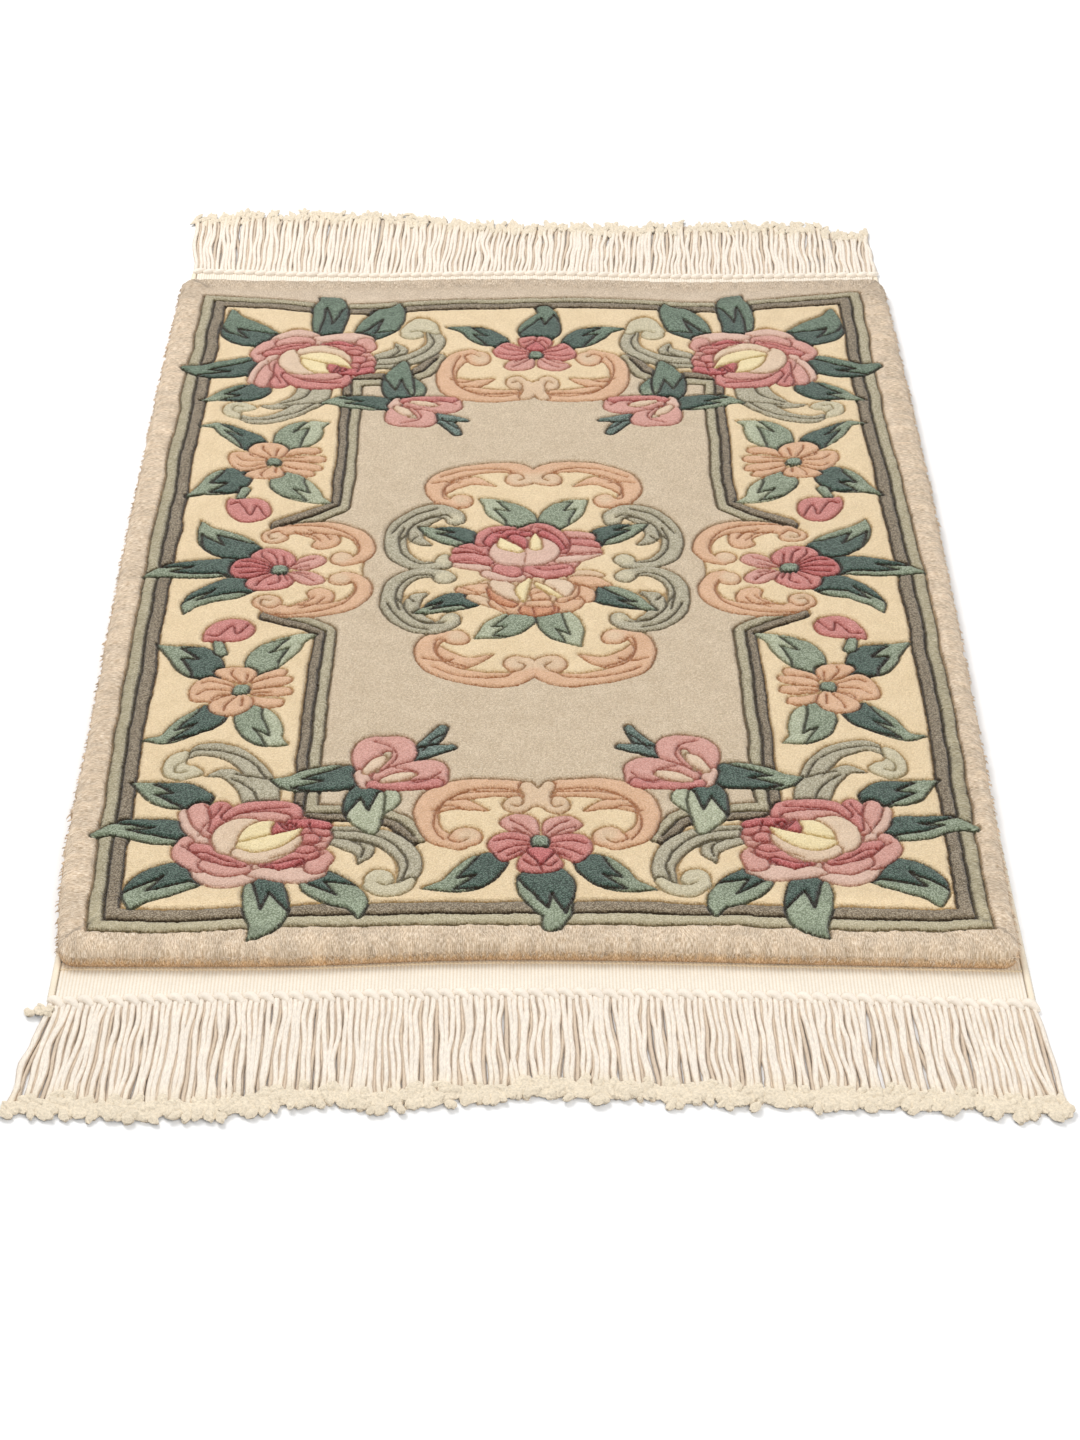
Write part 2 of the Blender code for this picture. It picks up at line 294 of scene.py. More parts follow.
# The three lines of the frame stripes, from outside in, and how they wave
FRAME_X = (-291.0, -281.0, -270.5)
FRAME_Y = (-427.0, -416.5, -405.0)
NEAR_WAVE = (
    (-280, -2), (-230, -5), (-180, -2), (-100, 1.5),
    (0, 4), (140, 1), (240, -3), (285, 0),
)
FAR_WAVE = (
    (-285, 6), (-240, 1), (-165, -10), (-100, -5), (-20, 1),
    (60, 1.5), (160, -4), (240, 8), (275, 14),
)
SIDE_WAVE_LEFT = ((-450, 6), (-400, 4), (-300, 0.5), (0, -1), (200, 0), (420, 4))
SIDE_WAVE_RIGHT = ((-450, 0), (-400, -1), (-300, 1), (0, 2), (200, -3), (420, -3))

INNER_FRAME = ((-84, -334), (-95, -318), (-110, -310), (-157, -309), (-157, -101), (-196, -76))
FIELD_OUTLINE = (
    (30, 20), (-134, 20), (-132, -48), (-150, -68), (-178, -72), (-192, -78),
    (-157, -101), (-157, -309), (-110, -310), (-84, -330), (-78, -305), (-62, -285),
    (-30, -278), (0, -290), (30, -290),
)
MEDALLION_OUTLINE = (
    (30, 20), (-80, 20), (-107, -38), (-111, -60), (-103, -80), (-82, -96),
    (-84, -126), (-70, -146), (-46, -157), (-20, -158), (0, -146), (30, -146),
)

# The widths of the inner frame's two stripes, and how deep the grooves along all stripes are carved
INNER_DARK_WIDTH = 8.2
INNER_LIGHT_WIDTH = 9.0
STRIPE_CUT = 1.3


def paint_ground(surface, frame_depth):
    """The field, the inner frame, the frame stripes and the border.

    frame_depth says for each frame line how far outside it each point lies.
    """
    surface.polygon(FIELD_OUTLINE, FIELD)
    stripe(surface, INNER_FRAME, 0.0, INNER_DARK_WIDTH, STRIPE_DARK)
    stripe(surface, INNER_FRAME, -INNER_LIGHT_WIDTH, 0.0, STRIPE_LIGHT)
    everywhere = np.arange(len(surface.edge))
    for depth, colour in zip(reversed(frame_depth), (STRIPE_DARK, STRIPE_LIGHT, BORDER)):
        surface.dye(everywhere, -depth, colour, STRIPE_CUT)


def stripe(surface, path, low, high, colour):
    """A band along a path of straight lines, from low to high on its left."""
    spine = np.column_stack([np.array(path, float), np.zeros(len(path))])
    index = surface.near(surface.quarter, spine[:, :2].min(0) - 10, spine[:, :2].max(0) + 10)
    x, y = surface.quarter[0][index], surface.quarter[1][index]
    gap, left = measure(x, y, spine)
    signed = np.where(left >= 0, gap, -gap)
    surface.dye(index, np.maximum(signed - high, low - signed), colour, STRIPE_CUT)


def scroll(s, colour, light, prongs, bands, pales, ribs):
    """A scroll: its prongs, the bands and heads that run into one shape, paler parts, and carved ribs."""
    for spine in prongs:
        s.blade(spine, colour)
    s.cluster(bands, colour)
    if pales:
        s.tint(pales, light)
    for spine in ribs:
        s.crease(spine, cut=0.95)


def paint_scrolls(s):
    """The medallion and the scrolls of a quarter."""
    # Medallion, the coral scroll at its end
    s.polygon(MEDALLION_OUTLINE, CREAM)
    scroll(
        s, CORAL, PEACH,
        [[(-75, -117, 4), (-68, -129, 7.5), (-53, -136, 6.5), (-35, -127, 1)]],
        [
            [(-60, -105, 9.3)],
            [(-62, -101, 5), (-71, -102, 6.5), (-79, -110, 7.5), (-82, -124, 8), (-76, -140, 8.5),
             (-60, -151, 8.5), (-40, -157, 8), (-22, -157, 8), (-8, -150, 7), (-4, -140, 5)],
            [(-16, -138, 10.5), (-10, -138, 9)],
        ],
        [[(-60, -105, 6)], [(-16, -138, 9), (-6, -138, 8)]],
        [
            [(-67, -112), (-69, -107), (-73, -107), (-75, -113), (-74, -124), (-65, -135), (-54, -141)],
            [(-84, -131), (-72, -134), (-63, -132)],
            [(-78, -141), (-61, -151), (-42, -155), (-26, -154), (-17, -147)],
            [(-26, -142), (-21, -148), (-13, -146), (-10, -140), (-15, -136)],
        ],
    )
    # Medallion, the grey scroll at its side
    scroll(
        s, GREY, GREY_LIGHT,
        [[(-84, -47, 2), (-92, -53, 5.5), (-95, -65, 6.5), (-89, -77, 5.5), (-78, -85, 3)]],
        [
            [(-71, -25, 8.6)],
            [(-70, -19, 4), (-80, -19, 5.5), (-94, -21, 7), (-107, -34, 8.5), (-110, -54, 8.5),
             (-106, -74, 8.5), (-93, -88, 8), (-77, -92, 7.5), (-66, -86, 8), (-65, -81, 7.5)],
        ],
        [[(-71, -25, 7)], [(-66, -82, 5)]],
        [
            [(-75, -33), (-79, -28), (-80, -22), (-93, -23), (-104, -35), (-107, -52), (-103, -70)],
            [(-101, -60), (-97, -73), (-86, -84), (-73, -87), (-68, -84)],
            [(-107, -52), (-100, -62), (-101, -50), (-93, -58)],
            [(-112, -62), (-106, -76), (-95, -88), (-80, -94)],
        ],
    )
    # Coral scroll at the side
    s.petal(
        [(-190, -68), (-179, -62), (-172, -56), (-174, -47), (-165, -42), (-155, -47), (-153, -58),
         (-160, -69), (-175, -73)],
        CORAL,
    )
    scroll(
        s, CORAL, PEACH,
        [],
        [
            [(-200, -59, 9.8)],
            [(-147, -22, 4), (-138, -27, 5.5), (-132, -42, 7), (-138, -60, 7.5), (-154, -71, 8),
             (-174, -74, 8), (-192, -70, 7), (-203, -61, 6)],
            [(-150, -29, 8.8)],
        ],
        [[(-200, -58, 6.5)], [(-150, -29, 7)]],
        [
            [(-192, -62), (-197, -67), (-204, -62), (-203, -56), (-198, -57)],
            [(-198, -74), (-180, -77), (-160, -73), (-144, -61), (-138, -46), (-140, -34), (-146, -37)],
            [(-186, -67), (-174, -63), (-167, -54)],
            [(-177, -70), (-166, -65), (-160, -56)],
        ],
    )
    # Coral scroll at the end
    scroll(
        s, CORAL, PEACH,
        [
            [(-72, -306, 4), (-58, -300, 6), (-47, -302, 4.5), (-35, -307, 1)],
            [(-60, -293, 3), (-48, -290, 5), (-30, -288, 4.5), (-13, -290, 2)],
        ],
        [
            [(-49, -335, 10.5)],
            [(-12, -281, 6), (-28, -280, 7), (-48, -280, 7.5), (-66, -287, 8), (-75, -301, 8),
             (-75, -320, 8), (-68, -334, 8), (-54, -342, 7)],
        ],
        [[(-48, -334, 7)]],
        [
            [(-58, -330), (-61, -337), (-54, -341), (-48, -337)],
            [(-64, -338), (-70, -326), (-70, -310), (-64, -296), (-50, -286), (-32, -283), (-16, -285)],
            [(-72, -307), (-62, -302), (-48, -307)],
        ],
    )
    s.cluster([[(-10, -281, 5.5), (-6, -290, 6), (-7, -298, 6)], [(-16, -301, 9.5)]], PEACH)
    s.crease([(-15, -289), (-12, -297), (-15, -303), (-20, -301)], cut=0.9)
    # Grey scroll beside the corner rose
    scroll(
        s, GREY, GREY_LIGHT,
        [[(-140, -336, 5), (-125, -341, 8), (-116, -349, 7), (-119, -362, 1)]],
        [[(-139, -329, 6), (-120, -331, 8), (-103, -337, 9), (-89, -350, 9), (-84, -366, 8),
          (-86, -381, 6.5)]],
        [],
        [
            [(-136, -328), (-120, -329), (-104, -336), (-91, -349), (-86, -365), (-89, -380)],
            [(-134, -336), (-119, -338), (-107, -344), (-98, -354), (-93, -367), (-95, -378)],
            [(-126, -337), (-117, -346), (-118, -356)],
        ],
    )
    s.cluster([[(-104, -378, 10.3)], [(-83, -381, 4), (-89, -388, 6), (-101, -390, 6.5),
                                      (-110, -384, 5)]], GREY_LIGHT)
    s.crease([(-95, -381), (-99, -384), (-105, -381)], cut=0.9)
    # Grey scroll above the corner rose
    scroll(
        s, GREY, GREY_LIGHT,
        [],
        [
            [(-225, -267, 1), (-213, -264, 5), (-203, -272, 6.5), (-195, -285, 7), (-190, -302, 7)],
            [(-242, -246, 3), (-238, -242, 5), (-226, -238, 7), (-208, -244, 8), (-194, -260, 8.5),
             (-184, -280, 8), (-181, -302, 8)],
        ],
        [],
        [
            [(-243, -244), (-236, -239), (-219, -240), (-206, -245), (-193, -256), (-184, -272)],
            [(-206, -266), (-195, -269), (-184, -273)],
            [(-208, -270), (-199, -277), (-192, -286), (-187, -300)],
        ],
    )
    s.petal(
        [(-239, -237), (-250, -239), (-255, -250), (-253, -263), (-243, -271), (-232, -270),
         (-227, -263), (-232, -257), (-239, -252)],
        GREY_LIGHT,
    )
    s.crease([(-240, -249), (-246, -254), (-245, -262), (-238, -263)], cut=0.85)


EYE_SIZE = 5


def flower_eye(s, x, y, place):
    """The round middle of a flower."""
    corners = ((1, 1), (-1, 1), (-1, -1), (1, -1))
    s.petal([(x + EYE_SIZE * a, y + EYE_SIZE * b) for a, b in corners], EYE, place)


def daisy(s, eye, petals, ribs, place):
    """A flower of lobed petals, each (colour, outline corners), with carved ribs and a round eye."""
    for colour, corners in petals:
        s.petal(corners, colour, place)
    for path in ribs:
        s.crease(path, place, 0.95)
    flower_eye(s, *eye, place)


def paint_quarter_flowers(s):
    """The flowers, buds and leaves of a quarter, and the flower at each side, of a half."""
    # Leaves of the flower at the rug's side
    half = s.half
    leaves(s, (
        (-1.0, "fork", SHADED,
         [(-211, 4, 9), (-226, 15, 15), (-240, 26, 13.5), (-251, 38, 8), (-257, 51, 1)]),
        (1.0, "long", SHADED,
         [(-226, -12, 12), (-245, -9, 12.5), (-262, -8, 10.5), (-278, -10, 7), (-293, -14, 1)]),
        (1.0, "long", SHADED,
         [(-213, -36, 9), (-228, -40, 14.5), (-242, -44, 13), (-253, -51, 8), (-257, -63, 1)]),
    ), half)
    # Leaves of the coral flower between the frames
    leaves(s, (
        (1.0, "fork", SHADED,
         [(-231, -148, 9), (-238, -136, 14), (-247, -124, 13), (-258, -112, 8), (-273, -101, 1)]),
        (-1.0, "fork", PALE,
         [(-200, -146, 8), (-195, -134, 14), (-188, -123, 14), (-179, -113, 8), (-164, -105, 1)]),
        (-1.0, "fork", SHADED,
         [(-222, -193, 8), (-231, -201, 14.5), (-242, -209, 13.5), (-254, -217, 7), (-271, -218, 1)]),
        (1.0, "long", PALE,
         [(-201, -196, 9), (-196, -207, 15), (-192, -218, 14.5), (-186, -228, 8.5), (-173, -235, 1)]),
    ))
    # Bud above it
    s.blade([(-227, -122, 5), (-230, -110, 4)], LEAF_MID)
    s.petal(
        [(-240, -106), (-241, -96), (-235, -86), (-224, -79), (-211, -82), (-205, -92), (-209, -104),
         (-218, -108), (-232, -108)],
        ROSE,
    )
    s.crease([(-209, -87), (-217, -99), (-221, -88), (-230, -102), (-238, -99)], cut=0.95)
    daisy(
        s, (-208.5, -168.5),
        [
            (CORAL, [(-205, -158), (-190, -148), (-181, -148), (-181, -155), (-194, -163)]),
            (CORAL, [(-202, -163), (-187, -157), (-176, -158), (-177, -166), (-190, -169), (-202, -169)]),
            (CORAL, [(-202, -171), (-190, -170), (-176, -171), (-175, -179), (-186, -180), (-200, -176)]),
            (CORAL, [(-203, -177), (-190, -182), (-180, -184), (-180, -192), (-192, -192), (-203, -184)]),
            (CORAL, [(-212, -160), (-228, -150), (-228, -144), (-218, -140), (-205, -142),
                     (-200, -150), (-204, -160)]),
            (CORAL, [(-213, -162), (-227, -153), (-238, -154), (-244, -163), (-243, -176),
                     (-233, -183), (-221, -181), (-213, -173)]),
            (CORAL, [(-213, -174), (-229, -184), (-228, -194), (-218, -200), (-205, -198),
                     (-199, -188), (-203, -176)]),
        ],
        [
            [(-210, -160), (-217, -149), (-216, -144)], [(-206, -160), (-206, -150)],
            [(-215, -164), (-227, -159), (-236, -160)], [(-216, -169), (-230, -169), (-238, -173)],
            [(-214, -173), (-224, -176), (-228, -180)], [(-211, -177), (-217, -187), (-218, -194)],
            [(-207, -178), (-206, -190)], [(-203, -163), (-192, -157)], [(-201, -174), (-188, -176)],
        ],
        s.quarter,
    )
    # Pink flower at the rug's side
    daisy(
        s, (-194.5, -14.5),
        [
            (ROSE_LIGHT, [(-190, -10), (-181, 2), (-172, 7), (-163, 4), (-162, -5), (-171, -13),
                          (-182, -14)]),
            (ROSE_LIGHT, [(-189, -17), (-174, -16), (-162, -26), (-163, -35), (-172, -38),
                          (-182, -31), (-189, -22)]),
            (ROSE, [(-200, -12), (-216, 1), (-215, 9), (-206, 15), (-194, 14), (-185, 6), (-184, -4),
                    (-190, -12)]),
            (ROSE, [(-199, -18), (-215, -27), (-214, -38), (-205, -43), (-192, -42), (-184, -34),
                    (-186, -24), (-192, -18)]),
            (ROSE_RICH, [(-200, -9), (-214, 1), (-225, -1), (-230, -10), (-229, -20), (-222, -26),
                         (-211, -25), (-200, -18)]),
        ],
        [
            [(-199, -8), (-207, 4), (-208, 10)], [(-196, -7), (-198, 5), (-203, 10)],
            [(-191, -8), (-192, 4)],
            [(-201, -11), (-213, -5), (-222, -4)], [(-202, -14), (-215, -12), (-226, -12)],
            [(-201, -17), (-213, -19), (-222, -20)], [(-198, -21), (-206, -30), (-208, -36)],
            [(-194, -22), (-194, -32), (-200, -36)], [(-191, -21), (-188, -30)],
            [(-187, -10), (-178, -3), (-170, 1)], [(-187, -18), (-177, -24), (-169, -32)],
            [(-184, -12), (-174, -9)], [(-182, -18), (-173, -22)],
        ],
        half,
    )
    # Corner rose and its leaves
    leaves(s, (
        (1.0, "fork", SHADED,
         [(-226, -293, 9), (-237, -289, 13), (-249, -284, 12), (-260, -277, 8), (-274, -270, 1)]),
        (1.0, "long", SHADED,
         [(-229, -329, 10), (-244, -326, 13.5), (-260, -322, 12.5), (-276, -320, 8.5),
          (-292, -326, 3.5)]),
        (1.0, "long", SHADED,
         [(-219, -371, 10), (-231, -373, 16), (-245, -379, 16.5), (-256, -390, 11), (-260, -405, 2)]),
        (-1.0, "short", SHADED,
         [(-147, -374, 9), (-140, -383, 14), (-129, -392, 14), (-119, -402, 8), (-116, -416, 1.5)]),
        (-1.0, "short", SHADED,
         [(-177, -378, 10), (-177, -393, 15), (-175, -408, 15.5), (-175, -424, 10.5), (-185, -439, 1)]),
    ))
    corner_rose(s)
    # Bud in the field's corner
    leaf(
        s, [(-120, -270, 11), (-137, -271, 14), (-154, -274, 12.5), (-167, -277, 8.5), (-181, -273, 1)],
        -1.0, "fork", *SHADED,
    )
    s.blade([(-102, -284, 6), (-98, -295, 6), (-106, -311, 2)], LEAF_LIGHT)
    leaf(
        s, [(-114, -282, 9), (-117, -294, 14), (-117, -307, 13.5), (-114, -318, 9), (-111, -328, 4)],
        1.0, "short", *BRIGHT,
    )
    s.blade([(-85, -243, 7), (-77, -234, 6), (-71, -224, 5.5), (-67, -215, 4)], STEM)
    s.blade([(-85, -245, 6), (-74, -241, 6), (-60, -237, 3.5)], STEM)
    s.crease([(-80, -241), (-73, -229), (-66, -222)])
    for spine, colour in (
        ([(-117, -266, 6), (-118, -250, 9.5), (-116, -238, 10), (-105, -234, 8), (-94, -236, 9),
          (-94, -248, 8), (-104, -262, 4)], ROSE_LIGHT),
        ([(-107, -270, 6), (-92, -266, 10), (-75, -262, 12), (-72, -272, 10)], ROSE_LIGHT),
        ([(-121, -267, 5), (-117, -277, 6)], ROSE_PALE),
        ([(-112, -278, 4.5), (-98, -280, 4.5), (-82, -279, 5), (-70, -277, 5)], ROSE),
        ([(-117, -264, 3.5), (-111, -255, 5.5), (-107, -249, 2.5)], HEART),
        ([(-105, -274, 2.5), (-95, -270, 5), (-85, -267, 3)], HEART),
    ):
        s.blade(spine, colour)
    s.creases((
        (0.95, [(-114, -232), (-102, -237), (-98, -247), (-103, -259), (-109, -266)]),
        (0.9, [(-98, -260), (-84, -264), (-86, -272), (-100, -277)]),
        (0.9, [(-67, -266), (-77, -275), (-84, -277)]),
    ))


def corner_rose(s):
    """The full rose in each corner: its ground, its petals from outside in, and their carved edges."""
    s.petal(
        [(-226, -306), (-196, -304), (-164, -308), (-144, -324), (-142, -348), (-150, -368),
         (-184, -374), (-214, -370), (-230, -346)],
        ROSE_LIGHT,
    )
    for spine, colour in (
        ([(-233, -308, 6), (-230, -320, 7), (-224, -332, 6), (-220, -340, 4)], ROSE_PALE),
        ([(-222, -366, 5), (-214, -374, 7.5), (-202, -379, 8), (-188, -376, 6)], ROSE_PALE),
        ([(-184, -370, 7), (-170, -373, 8), (-156, -375, 8), (-144, -370, 7)], ROSE_PALE),
        ([(-232, -338, 6), (-233, -347, 8), (-228, -357, 7), (-219, -364, 6)], ROSE_LIGHT),
        ([(-145, -365, 8), (-142, -356, 7), (-148, -350, 6)], ROSE_LIGHT),
        ([(-146, -342, 7), (-142, -334, 6)], ROSE_LIGHT),
        ([(-214, -361, 7), (-204, -366, 9), (-194, -367, 7)], ROSE_LIGHT),
        ([(-225, -305, 8), (-222, -317, 8), (-217, -329, 5)], ROSE_LIGHT),
        ([(-212, -304, 8), (-211, -315, 7), (-215, -327, 3)], ROSE),
        ([(-206, -313, 5), (-196, -306, 8), (-180, -304, 8), (-166, -307, 8), (-163, -316, 5)], ROSE),
        ([(-204, -318, 3), (-195, -314, 4.5), (-180, -313, 5), (-168, -315, 4)], ROSE_LIGHT),
        ([(-226, -343, 4), (-216, -349, 7), (-205, -355, 7), (-194, -362, 4)], ROSE),
        ([(-178, -362, 5), (-165, -358, 8), (-152, -352, 8)], ROSE),
        ([(-160, -327, 6), (-150, -328, 7), (-142, -330, 5)], ROSE),
        ([(-158, -336, 5), (-150, -337, 6)], ROSE),
        ([(-164, -320, 4), (-151, -320, 4.5), (-141, -322, 4)], ROSE_DEEP),
        ([(-178, -365, 1.5), (-167, -366, 3.5), (-156, -361, 3)], ROSE_DEEP),
        ([(-188, -319, 3), (-199, -323, 7.5), (-206, -333, 9), (-205, -344, 7), (-199, -350, 3)], HEART),
        ([(-197, -350, 5), (-188, -354, 6.5), (-178, -355, 6.5), (-168, -350, 5.5), (-160, -340, 3.5),
          (-157, -333, 1)], HEART),
        ([(-176, -321, 3), (-183, -327, 8), (-191, -334, 6), (-196, -340, 2)], HEART_CREAM),
        ([(-172, -321, 3), (-170, -328, 6), (-165, -331, 4)], ROSE_DEEP),
        ([(-164, -322, 2), (-161, -327, 3)], ROSE_DEEP),
        ([(-196, -342, 3), (-185, -343, 7), (-173, -339, 7), (-163, -332, 4), (-157, -325, 1)], HEART_CREAM),
    ):
        s.blade(spine, colour)
    s.creases((
        (0.8, [(-222, -300), (-217, -313), (-221, -322), (-224, -333)]),
        (0.8, [(-211, -302), (-216, -314)]),
        (0.95, [(-202, -312), (-190, -306), (-167, -304)]),
        (0.95, [(-234, -342), (-226, -348), (-216, -350), (-206, -357), (-196, -361)]),
        (0.8, [(-218, -354), (-206, -362), (-194, -364)]),
        (0.9, [(-176, -358), (-162, -352), (-152, -353), (-143, -346)]),
        (0.8, [(-158, -364), (-150, -358), (-141, -352)]),
        (0.8, [(-160, -346), (-150, -341), (-140, -340)]),
        (0.9, [(-172, -320), (-166, -327), (-160, -321)]),
        (0.9, [(-152, -320), (-149, -330), (-141, -334)]),
        (0.7, [(-186, -369), (-176, -366), (-168, -371)]),
    ))


def turned(spine, centre_y, side):
    """An end flower's shape, drawn at the near end, for either end of the rug."""
    return [(x, centre_y + (y - NEAR_FLOWER_Y) * -side, *rest) for x, y, *rest in spine]


NEAR_FLOWER_Y = -340.0
END_PETALS = (
    (ROSE_LIGHT, [(-1, -334), (-2, -318), (-10, -312), (-20, -312), (-27, -319), (-23, -328),
                  (-11, -335)]),
    (ROSE_LIGHT, [(2, -334), (2, -319), (11, -313), (21, -313), (28, -321), (22, -329), (11, -335)]),
    (ROSE, [(-4, -337), (-17, -331), (-28, -332), (-35, -340), (-35, -349), (-26, -361), (-16, -357),
            (-5, -346)]),
    (ROSE, [(4, -337), (17, -331), (28, -332), (34, -340), (34, -349), (25, -361), (15, -356),
            (5, -346)]),
    (ROSE, [(-4, -346), (-14, -358), (-14, -369), (-5, -373), (8, -372), (15, -364), (12, -354),
            (5, -346)]),
)
END_CREASES = (
    [(-4, -334), (-12, -325), (-20, -318)], [(-8, -334), (-18, -327)],
    [(4, -332), (12, -322), (19, -318)],
    [(8, -333), (16, -327), (23, -324)], [(-7, -341), (-20, -338), (-31, -341)],
    [(-7, -344), (-20, -347), (-29, -353)],
    [(-12, -350), (-22, -356)], [(7, -341), (20, -338), (30, -341)], [(7, -344), (19, -347), (28, -353)],
    [(11, -350), (20, -356)], [(-11, -360), (-3, -366), (1, -363)], [(11, -359), (6, -366), (1, -363)],
    [(0, -364), (1, -371)],
)
END_FLOWERS = ((-1.0, NEAR_FLOWER_Y), (1.0, 314.0))
END_SIDE_LEAF = ((29, -360, 8), (37, -367, 13.5), (46, -376, 13.5), (57, -384, 8), (75, -389, 1))
END_LEAF = ((2, -370, 11), (3, -385, 18.5), (7, -400, 14), (10, -412, 9.5), (7, -423, 6.5))
END_CALYX = ((-6, -347), (6, -347), (9, -351), (2, -363), (-1, -363), (-9, -351))


def paint_middle_flowers(s):
    """What has no mirror image: the end flowers, and the two roses in the medallion."""
    whole = s.whole
    for side, end_y in END_FLOWERS:
        for hand in (-1.0, 1.0):
            spine = [(x * hand, y, half) for x, y, half in END_SIDE_LEAF]
            leaf(s, turned(spine, end_y, side), hand * -side, "fork", place=whole)
        leaf(s, turned(END_LEAF, end_y, side), side, "fork", place=whole)
        petals = [(colour, turned(corners, end_y, side)) for colour, corners in END_PETALS]
        daisy(s, (0, end_y), petals, [turned(path, end_y, side) for path in END_CREASES], whole)
        s.petal(turned(END_CALYX, end_y, side), ROSE_DEEP, whole)
        flower_eye(s, 0, end_y, whole)
    # Leaves of the medallion
    for spine, side, cut in (
        ([(-8, 48, 10), (-17, 60, 14.5), (-26, 69, 13.5), (-34, 77, 8), (-44, 85, 1)], 1.0, "fork"),
        ([(9, 47, 10), (16, 60, 14.5), (23, 69, 13.5), (30, 77, 8), (39, 85, 1)], -1.0, "fork"),
        ([(-8, -79, 9), (-18, -86, 13.5), (-27, -93, 12.5), (-35, -99, 7.5), (-46, -106, 1)], -1.0, "fork"),
        ([(8, -76, 10), (15, -85, 15), (19, -95, 14), (24, -105, 8), (31, -116, 1)], 1.0, "long"),
    ):
        leaf(s, spine, side, cut, *PALE, whole)
    for spine, side in (
        ([(-48, 24, 9), (-58, 28, 13), (-69, 32, 11.5), (-79, 37, 7), (-89, 44, 1)], 1),
        ([(44, 28, 9), (53, 33, 13), (63, 37, 11.5), (73, 42, 6.5), (84, 49, 1)], -1),
        ([(-52, -58, 9), (-62, -59, 12.5), (-73, -64, 9.5), (-82, -69, 5), (-91, -73, 1)], 1),
        ([(42, -49, 9), (53, -51, 12.5), (64, -55, 12), (75, -62, 6.5), (86, -70, 1)], 1),
    ):
        leaf(s, spine, side, "long", *SHADED, whole)
    peach_rose(s, whole)
    pink_rose(s, whole)


def peach_rose(s, whole):
    """The medallion's rose on the near side."""
    s.petal(
        [(-50, -40), (-34, -28), (0, -24), (34, -24), (44, -36), (32, -62), (12, -74), (-14, -74),
         (-34, -60)],
        PEACH, whole,
    )
    for spine, colour in (
        ([(-58, -42, 4), (-49, -42, 6.5), (-38, -40, 6)], CORAL),
        ([(-50, -52, 4), (-43, -56, 5.5), (-34, -62, 5)], PEACH),
        ([(26, -22, 5), (38, -23, 5.5), (47, -25, 2)], PEACH),
        ([(28, -30, 6), (40, -33, 6.5), (52, -37, 2.5)], CORAL),
        ([(27, -40, 6), (34, -47, 7.5), (36, -55, 5)], CORAL),
        ([(14, -66, 7), (22, -64, 8), (28, -58, 6)], CORAL),
        ([(-30, -60, 7), (-22, -66, 8), (-10, -68, 8)], CORAL),
        ([(-8, -70, 6), (0, -72, 6.5), (9, -69, 6)], CORAL_DEEP),
        ([(-33, -42, 4), (-29, -53, 5.5), (-20, -62, 5)], CORAL_DEEP),
        ([(24, -38, 6), (23, -48, 6), (17, -57, 4)], CORAL),
        ([(-30, -34, 6), (-23, -42, 9), (-14, -52, 6)], HEART),
        ([(8, -32, 4), (19, -36, 7.5), (19, -46, 6)], HEART),
        ([(-2, -44, 5), (2, -54, 7)], CORAL),
        ([(-6, -28, 2), (-12, -40, 5), (-11, -56, 2)], HEART_CREAM),
        ([(-1, -33, 2), (7, -41, 3.5), (16, -51, 2)], HEART_CREAM),
        ([(-6, -62, 4), (6, -62, 5)], CORAL),
    ):
        s.blade(spine, colour, whole)
    s.creases((
        (0.9, [(-31, -45), (-22, -56), (-15, -62)]),
        (0.8, [(-36, -44), (-32, -58), (-24, -70)]),
        (0.9, [(28, -34), (36, -40), (42, -46)]),
        (0.9, [(22, -56), (32, -56)]),
        (0.9, [(-4, -66), (-2, -76)]),
        (0.8, [(10, -60), (12, -70), (8, -76)]),
        (0.8, [(-5, -48), (3, -45), (10, -49)]),
        (0.9, [(-6, -56), (8, -55)]),
        (0.9, [(-60, -38), (-48, -44), (-40, -52)]),
    ), whole)


